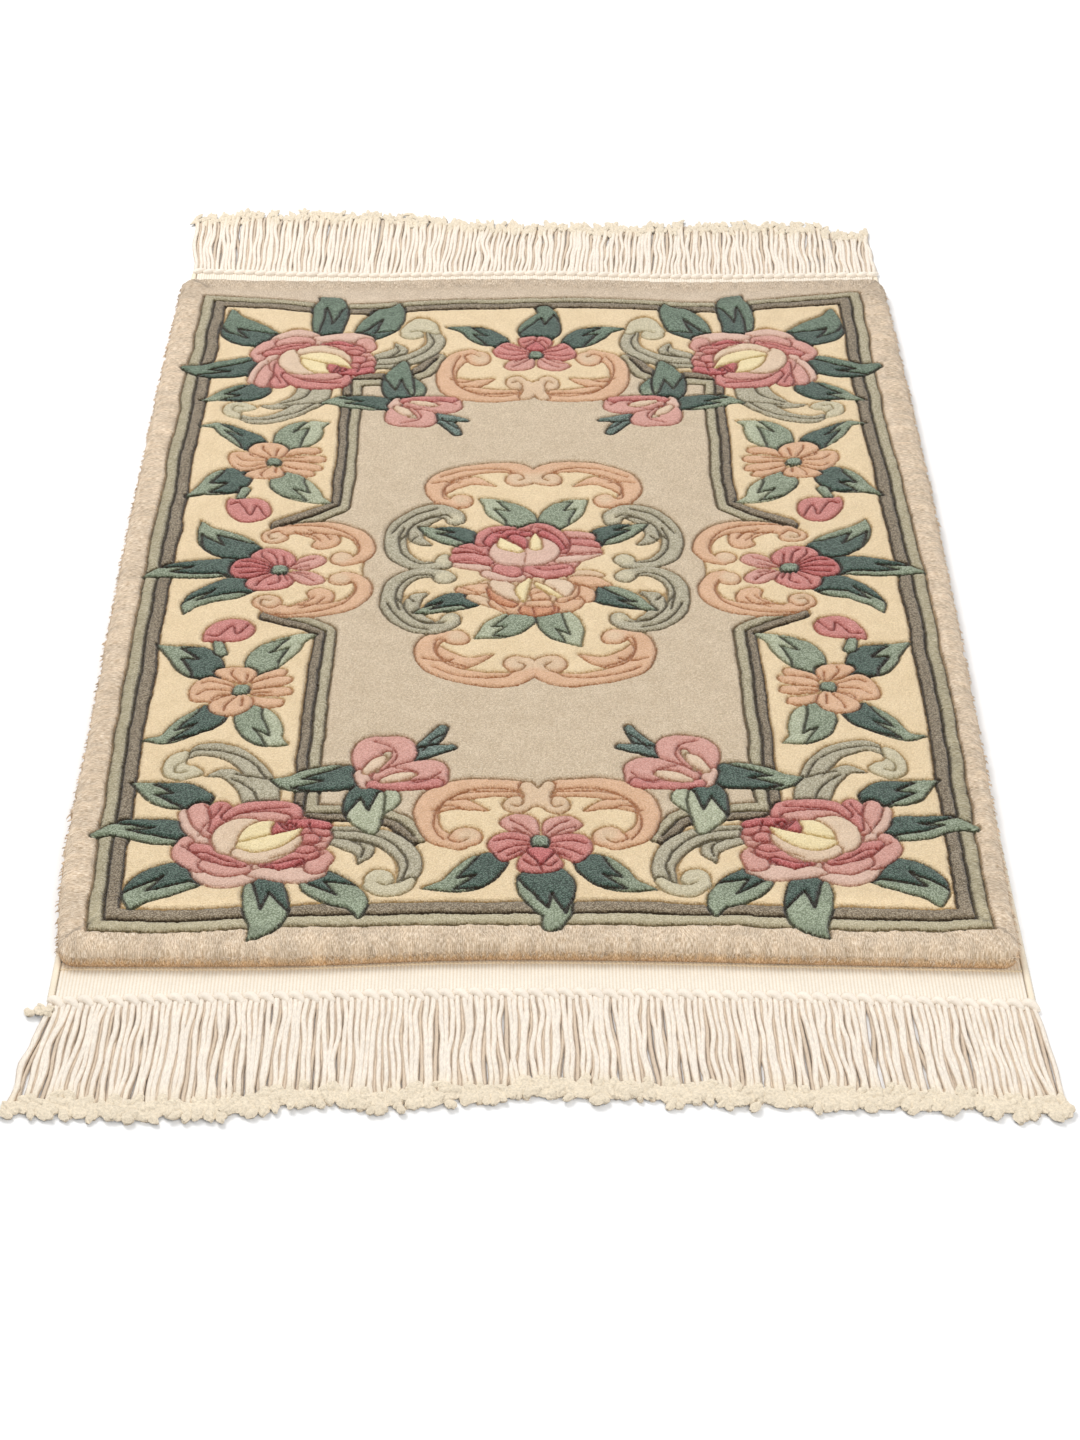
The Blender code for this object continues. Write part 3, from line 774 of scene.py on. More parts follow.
def pink_rose(s, whole):
    """The medallion's rose on the far side, over the other."""
    s.petal(
        [(-62, 2), (-42, 24), (-26, 40), (2, 46), (26, 36), (46, 20), (34, 0), (22, -20), (-6, -26),
         (-34, -22)],
        ROSE_LIGHT, whole,
    )
    for spine, colour in (
        ([(16, -3, 4), (32, 0, 5), (47, 8, 3)], ROSE_PALE),
        ([(-60, -8, 4), (-44, -12, 4.5), (-30, -15, 4)], ROSE_PALE),
        ([(-38, -20, 5), (-26, -26, 5), (-12, -26, 4)], ROSE_PALE),
        ([(-58, 9, 6.5), (-48, 13, 7.5), (-38, 11, 6)], ROSE),
        ([(-61, 0, 5.5), (-50, 0, 7), (-38, -2, 6)], ROSE),
        ([(-42, 22, 6), (-37, 32, 9), (-26, 39, 7), (-14, 39, 5)], ROSE),
        ([(22, 32, 8), (31, 33, 7), (39, 31, 6)], ROSE_LIGHT),
        ([(20, 22, 8), (33, 23, 7.5), (43, 20, 6)], ROSE),
        ([(20, 12, 7), (33, 11, 7), (44, 12, 5.5)], ROSE_LIGHT),
        ([(-12, 38, 6), (0, 42, 8), (11, 36, 8), (18, 24, 6), (19, 10, 4)], ROSE),
        ([(-28, -13, 6), (-18, -18, 7.5)], ROSE),
        ([(-4, -15, 6), (6, -19, 8), (20, -16, 7.5)], ROSE),
        ([(-36, 22, 5), (-32, 30, 5), (-22, 35, 5), (-8, 35, 4)], ROSE_DEEP),
        ([(3, 36, 4), (12, 29, 4), (18, 14, 3)], ROSE_DEEP),
    ):
        s.blade(spine, colour, whole)
    heart = [(-37, 8), (-30, 25), (-10, 31), (10, 25), (17, 8), (7, -8), (-10, -11), (-28, -7)]
    s.petal(heart, ROSE_PALE, whole)
    for spine, colour in (
        ([(-18, 29, 5), (-13, 24, 5), (-9, 15, 1.5)], ROSE_DEEP),
        ([(-28, 27, 2), (-24, 18, 5.5), (-14, 11, 4)], HEART_CREAM),
        ([(-3, 34, 2), (-2, 25, 4.5), (-1, 15, 5)], HEART_CREAM),
    ):
        s.blade(spine, colour, whole)
    s.creases((
        (0.7, [(-9, 12), (-9, -8)]),
        (0.95, [(-64, 6), (-52, 8), (-40, 4)]),
        (0.8, [(-60, 14), (-50, 12), (-42, 8)]),
        (0.8, [(-62, -4), (-50, -3), (-40, -7)]),
        (0.95, [(20, 18), (32, 18), (46, 16)]),
        (0.9, [(22, 28), (34, 28), (44, 27)]),
        (0.9, [(20, 6), (34, 7), (48, 10)]),
        (0.9, [(-2, -14), (8, -17), (22, -14)]),
        (0.9, [(-2, 44), (8, 40), (14, 32)]),
        (0.7, [(-34, 38), (-28, 34), (-24, 40)]),
        (0.8, [(-4, 46), (-8, 38), (-14, 36)]),
    ), whole)


def along(table, place):
    """The table's second column at places along its first, on a smooth curve."""
    places, values = np.asarray(table, float).T
    slopes = np.gradient(values, places)
    place = np.clip(place, places[0], places[-1])
    left = np.clip(np.searchsorted(places, place) - 1, 0, len(places) - 2)
    step = places[left + 1] - places[left]
    t = (place - places[left]) / step
    rise = t * t * (3.0 - 2.0 * t)
    bend = t * (1.0 - t) ** 2 * step * slopes[left] + t * t * (t - 1.0) * step * slopes[left + 1]
    return values[left] * (1.0 - rise) + values[left + 1] * rise + bend


# A noise field's size in cells, and where the rug's middle lies in it
LATTICE = 256
LATTICE_START = (97.3, 61.7)


def cloudy(x, y, cell, seed):
    """Smooth noise from -1 to 1 with bumps about cell across."""
    lattice = np.random.default_rng(seed).uniform(-1.0, 1.0, (LATTICE, LATTICE))
    u, v = x / cell + LATTICE_START[0], y / cell + LATTICE_START[1]
    iu, iv = np.floor(u).astype(int), np.floor(v).astype(int)
    fu, fv = u - iu, v - iv
    fu, fv = fu * fu * (3 - 2 * fu), fv * fv * (3 - 2 * fv)
    iu, iv, ju, jv = iu % LATTICE, iv % LATTICE, (iu + 1) % LATTICE, (iv + 1) % LATTICE
    low = lattice[iu, iv] * (1 - fu) + lattice[ju, iv] * fu
    high = lattice[iu, jv] * (1 - fu) + lattice[ju, jv] * fu
    return low * (1 - fv) + high * fv


# How far the drawing strays from a true mirror image, by place along the rug
NEARER = (
    (-450, 4), (-350, 4), (-200, 3), (-85, 3.5), (0, 4),
    (100, 5), (200, 6), (272, 4), (350, 6), (450, 7),
)
NEARER_AT_STRIPES = (
    (-450, -1.5), (-250, -1.5), (-160, -4.5), (-85, -3.5), (0, 1),
    (40, 3), (112, 6), (194, 0), (272, 4.5), (350, 2), (450, 0),
)
NEARER_AT_SIDES = ((-450, 0), (30, 0), (95, -12), (190, -12), (260, 0), (450, 0))
INWARD = (
    (-450, 0), (-220, 0.8), (-100, 3), (40, 4.5), (110, 6.8),
    (200, 6.4), (272, 4.1), (350, 0), (450, 0),
)
# The share of each by distance from the rug's middle line
STRIPES_SHARE = ((84.0, 168.0, 215.0), (0.0, 1.0, 0.0))
SIDES_SHARE = ((230.0, 256.0), (0.0, 1.0))
INWARD_SHARE = ((0.0, 168.0, 205.0), (0.0, 1.0, 0.0))

# How the drawing wobbles: millimetres, the size of a bump, and the noise's seeds across and along
WOBBLES = ((1.3, 26.0, 3, 5), (0.45, 7.0, 4, 6))

# By place along the rug: the share of a darker dye in far leaves, the painted shade on the far border and
# the painted light on the near stripes
LEAF_FAR_SHARE = ((235.0, 260.0), (0.0, 1.0))
BORDER_PAINTED_SHADE = ((395.0, 420.0), (1.0, 0.85))
STRIPE_PAINTED_LIGHT = ((-410.0, -395.0), (1.15, 1.0))
SAME_DYE = 0.10
TONE_EDGE = 8.0


def stray(x, y):
    """How much nearer, and how much further in, the drawing lies at a place, in millimetres."""
    out = np.abs(x - CENTRE_X)
    at_stripes = along(NEARER_AT_STRIPES, y) * np.interp(out, *STRIPES_SHARE)
    at_sides = along(NEARER_AT_SIDES, y) * np.interp(out, *SIDES_SHARE)
    return along(NEARER, y) + at_stripes + at_sides, along(INWARD, y) * np.interp(out, *INWARD_SHARE)


def frame_depths(x, y):
    """How far outside each of the frame's three lines each point lies, in millimetres."""
    depths = []
    for line_x, line_y in zip(FRAME_X, FRAME_Y):
        left = line_x - (x - along(SIDE_WAVE_LEFT, y))
        right = x - along(SIDE_WAVE_RIGHT, y) + line_x - 2.0 * CENTRE_X
        near = line_y - (y - along(NEAR_WAVE, x))
        far = y - along(FAR_WAVE, x) - np.interp(line_y, NEAR_PLACES, FAR_PLACES)
        depths.append(np.max([left, right, near, far], axis=0))
    return depths


def design(x, y):
    """The Surface for plan points in millimetres."""
    wx, wy = x, y
    for size, cell, seed_x, seed_y in WOBBLES:
        wx = wx + size * cloudy(x, y, cell, seed_x)
        wy = wy + size * cloudy(x, y, cell, seed_y)
    nearer, inward = stray(wx, wy)
    wy = wy + nearer
    qx = CENTRE_X - np.abs(wx - CENTRE_X) - inward
    sy = wy - SKEW * wx
    qy = np.where(sy > CENTRE_Y, np.interp(sy, FAR_PLACES[::-1], NEAR_PLACES[::-1]), sy)
    surface = Surface(wx, wy, qx, qy, sy)
    depths = frame_depths(wx, wy)
    paint_ground(surface, depths)
    paint_scrolls(surface)
    paint_quarter_flowers(surface)
    paint_middle_flowers(surface)
    # The far corners' leaves are dark almost to their tips
    for pale in (LEAF_MID, LEAF_LIGHT):
        likeness = np.clip(1.0 - np.abs(surface.colour - linear(pale)).sum(1) / SAME_DYE, 0.0, 1.0)
        surface.blend(slice(None), likeness * np.interp(sy, *LEAF_FAR_SHARE), LEAF_FAR)
    # Painted light and shade: the pile leans from the far end, so the far border is painted darker and the
    # near stripes lighter
    inside = np.clip(0.5 - depths[0] / TONE_EDGE, 0.0, 1.0)
    painted_light_and_shade = np.interp(sy, *BORDER_PAINTED_SHADE) * (1.0 - inside) + np.interp(sy, *STRIPE_PAINTED_LIGHT) * inside
    surface.colour *= painted_light_and_shade[:, None]
    return surface


# The solid pile's own sizes, which its dressed mesh repeats
PILE_HALF_WIDTH = 307.0
PILE_HALF_LENGTH = 450.0
PILE_TOP = 15.3
PILE_FOOT = 2.8
GROOVE_DEPTH = 2.6
RIM_DROP = 4.3
RIM_ROUND = 11.0
LEFT_SIDE = ((-450, -6.5), (-400, -1), (-200, 2.5), (0, 4), (250, 3.5), (450, 1))
RIGHT_SIDE = ((-450, -9), (-400, -8), (-200, -4), (0, -1.5), (250, -1), (450, -3))
NEAR_END = ((-300, 5), (-150, 4), (-60, -1), (60, -1), (160, 2), (300, 6))
FAR_END = ((-300, -2), (-160, -5), (-20, 0), (150, -5), (300, 1))

# The dressed pile's grid: cells across and along, and where it stays fine
PILE_COLUMNS = 592
PILE_ROWS = 864
PILE_BANDS = 4
FINE_NEAR_LINES = 1.0
FINE_NEAR_RIM = 3.2

# Its face and its corners in plan
CORNER_RADIUS = 11.0
GROOVE_WIDTH = 0.95
LINE_REACH = 1.7
CUSHION = 0.55
CUSHION_REACH = 3.5
SHAG_WIDTH = 27.0
SHAG_FADE = 9.0
SHAG_DEPTH = 0.6
SHAG_LOCK_SHADING = 0.10
FACE_LOWERED = 0.35
DYE_JITTER = 0.18
PILE_JITTER = 0.05

# The pile's side from the rim down: how far out, how high, and its tint, a painted warm shade that deepens
# towards the foot
WALL = (
    (0.7, 10, 0.98, 0.95, 0.91),
    (1.1, 8.6, 0.95, 0.89, 0.80),
    (1.2, 7, 0.94, 0.84, 0.70),
    (1.1, 5.4, 0.94, 0.81, 0.65),
    (0.9, 4, 0.93, 0.79, 0.62),
    (0.5, 2.8, 0.92, 0.78, 0.60),
)


def outline_shift(x, y):
    """The uneven outline: how far it moves each point of the nominal rectangle."""
    shift_x = np.where(x < 0.0, along(LEFT_SIDE, y), along(RIGHT_SIDE, y)) * (x / PILE_HALF_WIDTH)
    shift_y = np.where(y < 0.0, along(NEAR_END, x), along(FAR_END, x)) * (y / PILE_HALF_LENGTH) ** 3
    return shift_x, shift_y


def round_corners(x, y):
    """Bends the square corners of the plan into arcs."""
    start_x, start_y = PILE_HALF_WIDTH - CORNER_RADIUS, PILE_HALF_LENGTH - CORNER_RADIUS
    a, b = (np.abs(x) - start_x) / CORNER_RADIUS, (np.abs(y) - start_y) / CORNER_RADIUS
    corner = (a > 0.0) & (b > 0.0)
    a, b = np.maximum(a, 0.0), np.maximum(b, 0.0)
    scale = np.maximum(a, b) / np.maximum(np.hypot(a, b), 1e-9)
    bent_x = np.sign(x) * (start_x + a * scale * CORNER_RADIUS)
    bent_y = np.sign(y) * (start_y + b * scale * CORNER_RADIUS)
    return np.where(corner, bent_x, x), np.where(corner, bent_y, y)


def combed(x, y):
    """Places across and along the long fibres of the outer border, which lean outwards."""
    to_side, to_end = PILE_HALF_WIDTH - np.abs(x), PILE_HALF_LENGTH - np.abs(y)
    at_side = to_side < to_end
    across, lengthwise = np.where(at_side, y, x), np.where(at_side, x, y)
    return across + 2.5 * cloudy(x, y, 14.0, 30), lengthwise


class Face:
    """The pile's face at every point of its grid: places, colours, and how shaggy it is."""

    def __init__(self):
        x, y = np.meshgrid(
            np.linspace(-PILE_HALF_WIDTH, PILE_HALF_WIDTH, PILE_COLUMNS + 1),
            np.linspace(-PILE_HALF_LENGTH, PILE_HALF_LENGTH, PILE_ROWS + 1),
        )
        self.inset = np.minimum(PILE_HALF_WIDTH - np.abs(x), PILE_HALF_LENGTH - np.abs(y))
        x, y = round_corners(x, y)
        shift_x, shift_y = outline_shift(x, y)
        x, y = x + shift_x, y + shift_y
        random = np.random.default_rng(21)
        jitter_x, jitter_y = random.normal(0.0, DYE_JITTER, (2, *x.shape))
        surface = design((x + jitter_x).ravel(), (y + jitter_y).ravel())
        self.edge, cut = surface.edge.reshape(x.shape), surface.cut.reshape(x.shape)
        groove = np.exp(-((self.edge / GROOVE_WIDTH) ** 2)) * cut
        self.shag = np.clip((SHAG_WIDTH - self.inset) / SHAG_FADE, 0.0, 1.0)
        self.comb = np.stack(combed(x, y), axis=-1)
        across, lengthwise = self.comb[..., 0], self.comb[..., 1]
        locks = cloudy(across, lengthwise / 3.0, 2.6, 31)
        locks = locks + 0.7 * cloudy(across, lengthwise / 2.5, 5.5, 32)
        z = PILE_TOP - FACE_LOWERED - RIM_DROP * np.clip(1.0 - self.inset / RIM_ROUND, 0.0, 1.0) ** 3
        z += CUSHION * (1.0 - np.exp(-self.edge / CUSHION_REACH)) - GROOVE_DEPTH * groove
        rolling = 0.45 * cloudy(x, y, 70.0, 33) + 0.22 * cloudy(x, y, 12.0, 34)
        z += rolling + random.normal(0.0, PILE_JITTER, x.shape)
        z += SHAG_DEPTH * self.shag * locks
        self.points = np.stack([x, y, z], axis=-1)
        # How strongly painted shade darkens each point near a carved line
        self.line = np.clip(1.0 - self.edge / LINE_REACH, 0.0, 1.0) * cut
        colour = surface.colour.reshape(*x.shape, 3)
        # Painted light on the border's raised locks and painted shade in the hollows between them
        self.colour = colour * (1.0 + SHAG_LOCK_SHADING * self.shag * locks)[..., None]


def lowest_in_blocks(values):
    """The lowest value in each block of two by two cells."""
    rows, columns = values.shape[0] // 2, values.shape[1] // 2
    steps = [(j, i) for j in range(3) for i in range(3)]
    return np.minimum.reduce([values[j:j + 2 * rows - 1:2, i:i + 2 * columns - 1:2] for j, i in steps])


def face_polygons(face):
    """Polygons over the grid: single cells near carved lines and the rim, wide ones where it is plain."""
    ids = np.arange(face.edge.size).reshape(face.edge.shape)
    fine = lowest_in_blocks(face.edge) < FINE_NEAR_LINES
    fine |= lowest_in_blocks(face.inset) < FINE_NEAR_RIM
    busy = fine | (lowest_in_blocks(-face.shag) < 0.0)
    padded = np.pad(busy, 2, mode="edge")
    rows, columns = busy.shape[0] // 2, busy.shape[1] // 2
    steps = [(j, i) for j in range(1, 5) for i in range(1, 5)]
    around = [padded[j:j + 2 * rows - 1:2, i:i + 2 * columns - 1:2] for j, i in steps]
    wide = ~np.logical_or.reduce(around)
    cells = np.repeat(np.repeat(fine, 2, axis=0), 2, axis=1)
    corners = (ids[:-1, :-1], ids[:-1, 1:], ids[1:, 1:], ids[1:, :-1])
    single = quads_between(*(corner[cells] for corner in corners))
    middle = ~fine & ~np.repeat(np.repeat(wide, 2, axis=0), 2, axis=1)
    return [single, *blocks(ids, 2, middle, fine), *blocks(ids, 4, wide, ~wide)]


def blocks(ids, size, chosen, finer):
    """Polygons of the chosen blocks, each with a point more on a side whose neighbour is finer."""
    j, i = np.nonzero(chosen)
    half = size // 2
    ring_j = np.array((0, 0, 0, half, size, size, size, half))
    ring_i = np.array((0, half, size, size, size, half, 0, 0))
    corners = ids[(j * size)[:, None] + ring_j, (i * size)[:, None] + ring_i]
    beside = np.pad(finer, 1)
    sides = ((0, 1), (1, 2), (2, 1), (1, 0))
    split = np.column_stack([beside[j + dj, i + di] for dj, di in sides])
    kind = split @ (1, 2, 4, 8)
    polygons = []
    for value in np.unique(kind):
        keep = np.ones(8, bool)
        keep[1::2] = split[kind == value][0]
        polygons.append(corners[kind == value][:, keep])
    return polygons


def rim_loop(rows, columns):
    """The grid indices around a grid of points, anticlockwise from the near left corner."""
    i, j = np.arange(columns), np.arange(rows)
    first_j, last_j = np.full(columns - 1, 0), np.full(columns - 1, rows - 1)
    first_i, last_i = np.full(rows - 1, 0), np.full(rows - 1, columns - 1)
    loop_j = np.concatenate([first_j, j[:-1], last_j, j[:0:-1]])
    loop_i = np.concatenate([i[:-1], last_i, i[:0:-1], first_i])
    return loop_j, loop_i


def outward_of(loop):
    """The level direction away from the rug at each point of its rim."""
    tangent = np.roll(loop, -2, axis=0) - np.roll(loop, 2, axis=0)
    outward = np.column_stack([tangent[:, 1], -tangent[:, 0]])
    return outward / np.hypot(*outward.T)[:, None]


def pile_walls(points):
    """The rings below the rim: an array of (ring, place around, xyz)."""
    loop = points[rim_loop(*points.shape[:2])]
    outward = outward_of(loop)
    random = np.random.default_rng(22)
    tuft = random.normal(0.0, 0.28, len(loop)) + 0.8 * cloudy(loop[:, 0], loop[:, 1], 7.0, 35)
    rings = []
    for out, height, *_ in WALL:
        lean = (tuft + random.normal(0.0, 0.1, len(loop))) * min(1.0, (height - PILE_FOOT) / 3.0)
        ring = loop.copy()
        ring[:, :2] += outward * (out + lean)[:, None]
        ring[:, 2] = height
        rings.append(ring)
    return np.array(rings)


def quads_between(a, b, c, d):
    """Four arrays of point numbers as rows of four corners."""
    return np.stack([a, b, c, d], axis=-1).reshape(-1, 4)


def point_normals(points, quads):
    """Smooth normals from the faces around each point."""
    a, b, c, d = (points[quads[:, corner]] for corner in range(4))
    facing = np.cross(c - a, d - b)
    normals = np.zeros_like(points)
    for corner in range(4):
        np.add.at(normals, quads[:, corner], facing)
    return unit(normals)


def whole_normals(points, walls):
    """Normals of the face's grid and of the walls' rings, as if the pile were one mesh."""
    rows, columns = points.shape[:2]
    ids = np.arange(rows * columns).reshape(rows, columns)
    quads = [quads_between(ids[:-1, :-1], ids[:-1, 1:], ids[1:, 1:], ids[1:, :-1])]
    high = ids[rim_loop(rows, columns)]
    for ring in range(len(walls)):
        low = rows * columns + ring * len(high) + np.arange(len(high))
        quads.append(quads_between(low, np.roll(low, -1), np.roll(high, -1), high))
        high = low
    normals = point_normals(np.vstack([points.reshape(-1, 3), walls.reshape(-1, 3)]), np.vstack(quads))
    on_face, on_walls = np.split(normals, [rows * columns])
    return on_face.reshape(rows, columns, 3), on_walls.reshape(walls.shape)


# Meshes

def mesh_object(name, points, faces, material):
    """An object from points in millimetres and a list of arrays of faces."""
    mesh = bpy.data.meshes.new(name)
    mesh.vertices.add(len(points))
    mesh.vertices.foreach_set("co", (points * MM).astype(np.float32).ravel())
    corners = np.concatenate([block.ravel() for block in faces])
    sizes = np.concatenate([np.full(len(block), block.shape[1]) for block in faces])
    mesh.loops.add(len(corners))
    mesh.loops.foreach_set("vertex_index", corners.astype(np.int32))
    mesh.polygons.add(len(sizes))
    starts = np.concatenate([[0], np.cumsum(sizes)[:-1]])
    mesh.polygons.foreach_set("loop_start", starts.astype(np.int32))
    mesh.update(calc_edges=True)
    mesh.shade_smooth()
    mesh.materials.append(material)
    obj = bpy.data.objects.new(name, mesh)
    bpy.context.scene.collection.objects.link(obj)
    return obj


def add_colours(obj, name, colours):
    """A colour at each point, in linear light."""
    layer = obj.data.color_attributes.new(name=name, type="FLOAT_COLOR", domain="POINT")
    rgba = np.column_stack([colours, np.ones(len(colours))]).astype(np.float32)
    layer.data.foreach_set("color", rgba.ravel())


def add_values(obj, name, values):
    """A number at each point."""
    layer = obj.data.attributes.new(name, "FLOAT", "POINT")
    layer.data.foreach_set("value", values.astype(np.float32))


def add_vectors(obj, name, vectors):
    """A place at each point, given in millimetres."""
    layer = obj.data.attributes.new(name, "FLOAT_VECTOR", "POINT")
    layer.data.foreach_set("vector", (vectors * MM).astype(np.float32).ravel())


def fit_piece(obj, node):
    """Makes a piece ride with the rug in place of one of its plain solids."""
    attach(obj, "root")
    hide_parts(node)


COMB_DROP = 2.5


def make_pile(material):
    """The pile as bands across the rug, each a closed mesh, which meet without a seam."""
    face = Face()
    walls = pile_walls(face.points)
    normals, wall_normals = whole_normals(face.points, walls)
    polygons = face_polygons(face)
    rim_place = np.full(face.edge.shape, -1)
    rim = rim_loop(*face.edge.shape)
    rim_place[rim] = np.arange(len(rim[0]))
    # The cuts between bands lie on the borders of the widest cells
    cuts = np.linspace(0, PILE_ROWS // 4, PILE_BANDS + 1).round().astype(int) * 4
    columns = PILE_COLUMNS + 1
    pieces = []
    for number, (first, last) in enumerate(zip(cuts, cuts[1:]), start=1):
        start, stop = first * columns, (last + 1) * columns
        inside = [p[(p.min(axis=1) >= start) & (p.max(axis=1) < stop)] for p in polygons]
        used = np.unique(np.concatenate([p.ravel() for p in inside]))
        place = np.full(face.edge.size, -1)
        place[used] = np.arange(len(used))
        loop_j, loop_i = rim_loop(last - first + 1, columns)
        loop_j = loop_j + first
        kept = place[loop_j * columns + loop_i] >= 0
        loop_j, loop_i = loop_j[kept], loop_i[kept]
        on_rim = rim_place[loop_j, loop_i]
        real = (on_rim >= 0)[:, None]
        high = place[loop_j * columns + loop_i]
        points, colours = [face.points.reshape(-1, 3)[used]], [face.colour.reshape(-1, 3)[used]]
        facing, combs = [normals.reshape(-1, 3)[used]], [face.comb.reshape(-1, 2)[used]]
        faces = [place[p] for p in inside if len(p)]
        for ring, (_, height, *tint) in enumerate(WALL):
            made = face.points[loop_j, loop_i].copy()
            made[:, 2] = np.minimum(made[:, 2], height)
            points.append(np.where(real, walls[ring, on_rim], made))
            facing.append(np.where(real, wall_normals[ring, on_rim], (0.0, 0.0, 1.0)))
            # The wall takes the face's dye darkened by its painted shade
            colours.append(face.colour[loop_j, loop_i] * tint)
            combs.append(face.comb[loop_j, loop_i] + (0.0, COMB_DROP * (ring + 1)))
            low = len(used) + ring * len(high) + np.arange(len(high))
            faces.append(quads_between(low, np.roll(low, -1), np.roll(high, -1), high))
            high = low
        faces.append(high[None, ::-1])
        obj = mesh_object(f"pile_band_{number}", np.vstack(points), faces, material)
        add_colours(obj, "dye", np.vstack(colours))
        below = len(WALL) * len(high)
        add_values(obj, "shag", np.append(face.shag.ravel()[used], np.ones(below)))
        add_values(obj, "line", np.append(face.line.ravel()[used], np.zeros(below)))
        comb = np.vstack(combs)
        add_vectors(obj, "comb", np.column_stack([comb, np.zeros(len(comb))]))
        obj.data.normals_split_custom_set_from_vertices(np.vstack(facing).tolist())
        fit_piece(obj, "pile")
        pieces.append(obj)
    pieces.append(make_rim_locks(face, walls, material))
    return pieces


# Locks at the rim: how many, their outline, and how thick they are along their length
RIM_LOCKS = 1900
LOCK_SIDES = 4
LOCK_STATIONS = np.array([-0.35, 0.15, 0.6, 1.0])
LOCK_TAPER = (0.8, 1.0, 0.7, 0.15)


def make_rim_locks(face, walls, material):
    """Short pointed locks of wool that stand out all round the rim."""
    random = np.random.default_rng(23)
    rim = rim_loop(*face.edge.shape)
    outward = outward_of(face.points[rim])
    at = random.integers(0, len(rim[0]), RIM_LOCKS)
    ring = random.integers(0, 2, RIM_LOCKS)
    level = walls[ring, at]
    start = np.where((ring == 0)[:, None], face.points[rim][at] - (0.0, 0.0, 0.6), level)
    length = random.uniform(1.2, 2.8, RIM_LOCKS)
    out = np.column_stack([outward[at], np.zeros(RIM_LOCKS)])
    aside = np.column_stack([-outward[at][:, 1], outward[at][:, 0], np.zeros(RIM_LOCKS)])
    lean = random.normal(0.0, 0.45, RIM_LOCKS)[:, None]
    fall = random.uniform(0.25, 0.9, RIM_LOCKS)
    ways = (out + aside * lean)[:, None] * LOCK_STATIONS[None, :, None]
    paths = start[:, None] + ways * length[:, None, None]
    paths[..., 2] -= np.outer(fall * length, np.maximum(LOCK_STATIONS, 0.0) ** 1.5)
    radius = np.outer(random.uniform(0.4, 0.75, RIM_LOCKS), LOCK_TAPER)
    points = free_tubes(paths, radius, LOCK_SIDES)
    points[..., 2] = np.maximum(points[..., 2], PILE_FOOT)
    flat = points.reshape(-1, 3)
    obj = tube_object("rim_locks", points, material)
    # Locks from the lower ring take the painted shade of the wall's top ring, and some random tone
    tint = np.array([(1.0, 1.0, 1.0), WALL[0][2:]])[ring] * random.uniform(0.97, 1.08, RIM_LOCKS)[:, None]
    add_colours(obj, "dye", np.repeat(face.colour[rim][at] * tint, len(flat) // RIM_LOCKS, axis=0))
    add_values(obj, "shag", np.ones(len(flat)))
    add_values(obj, "line", np.zeros(len(flat)))
    add_vectors(obj, "comb", np.column_stack([flat[:, 0] + flat[:, 1], flat[:, 2], flat[:, 1]]))
    fit_piece(obj, "pile")
    return obj


# Materials

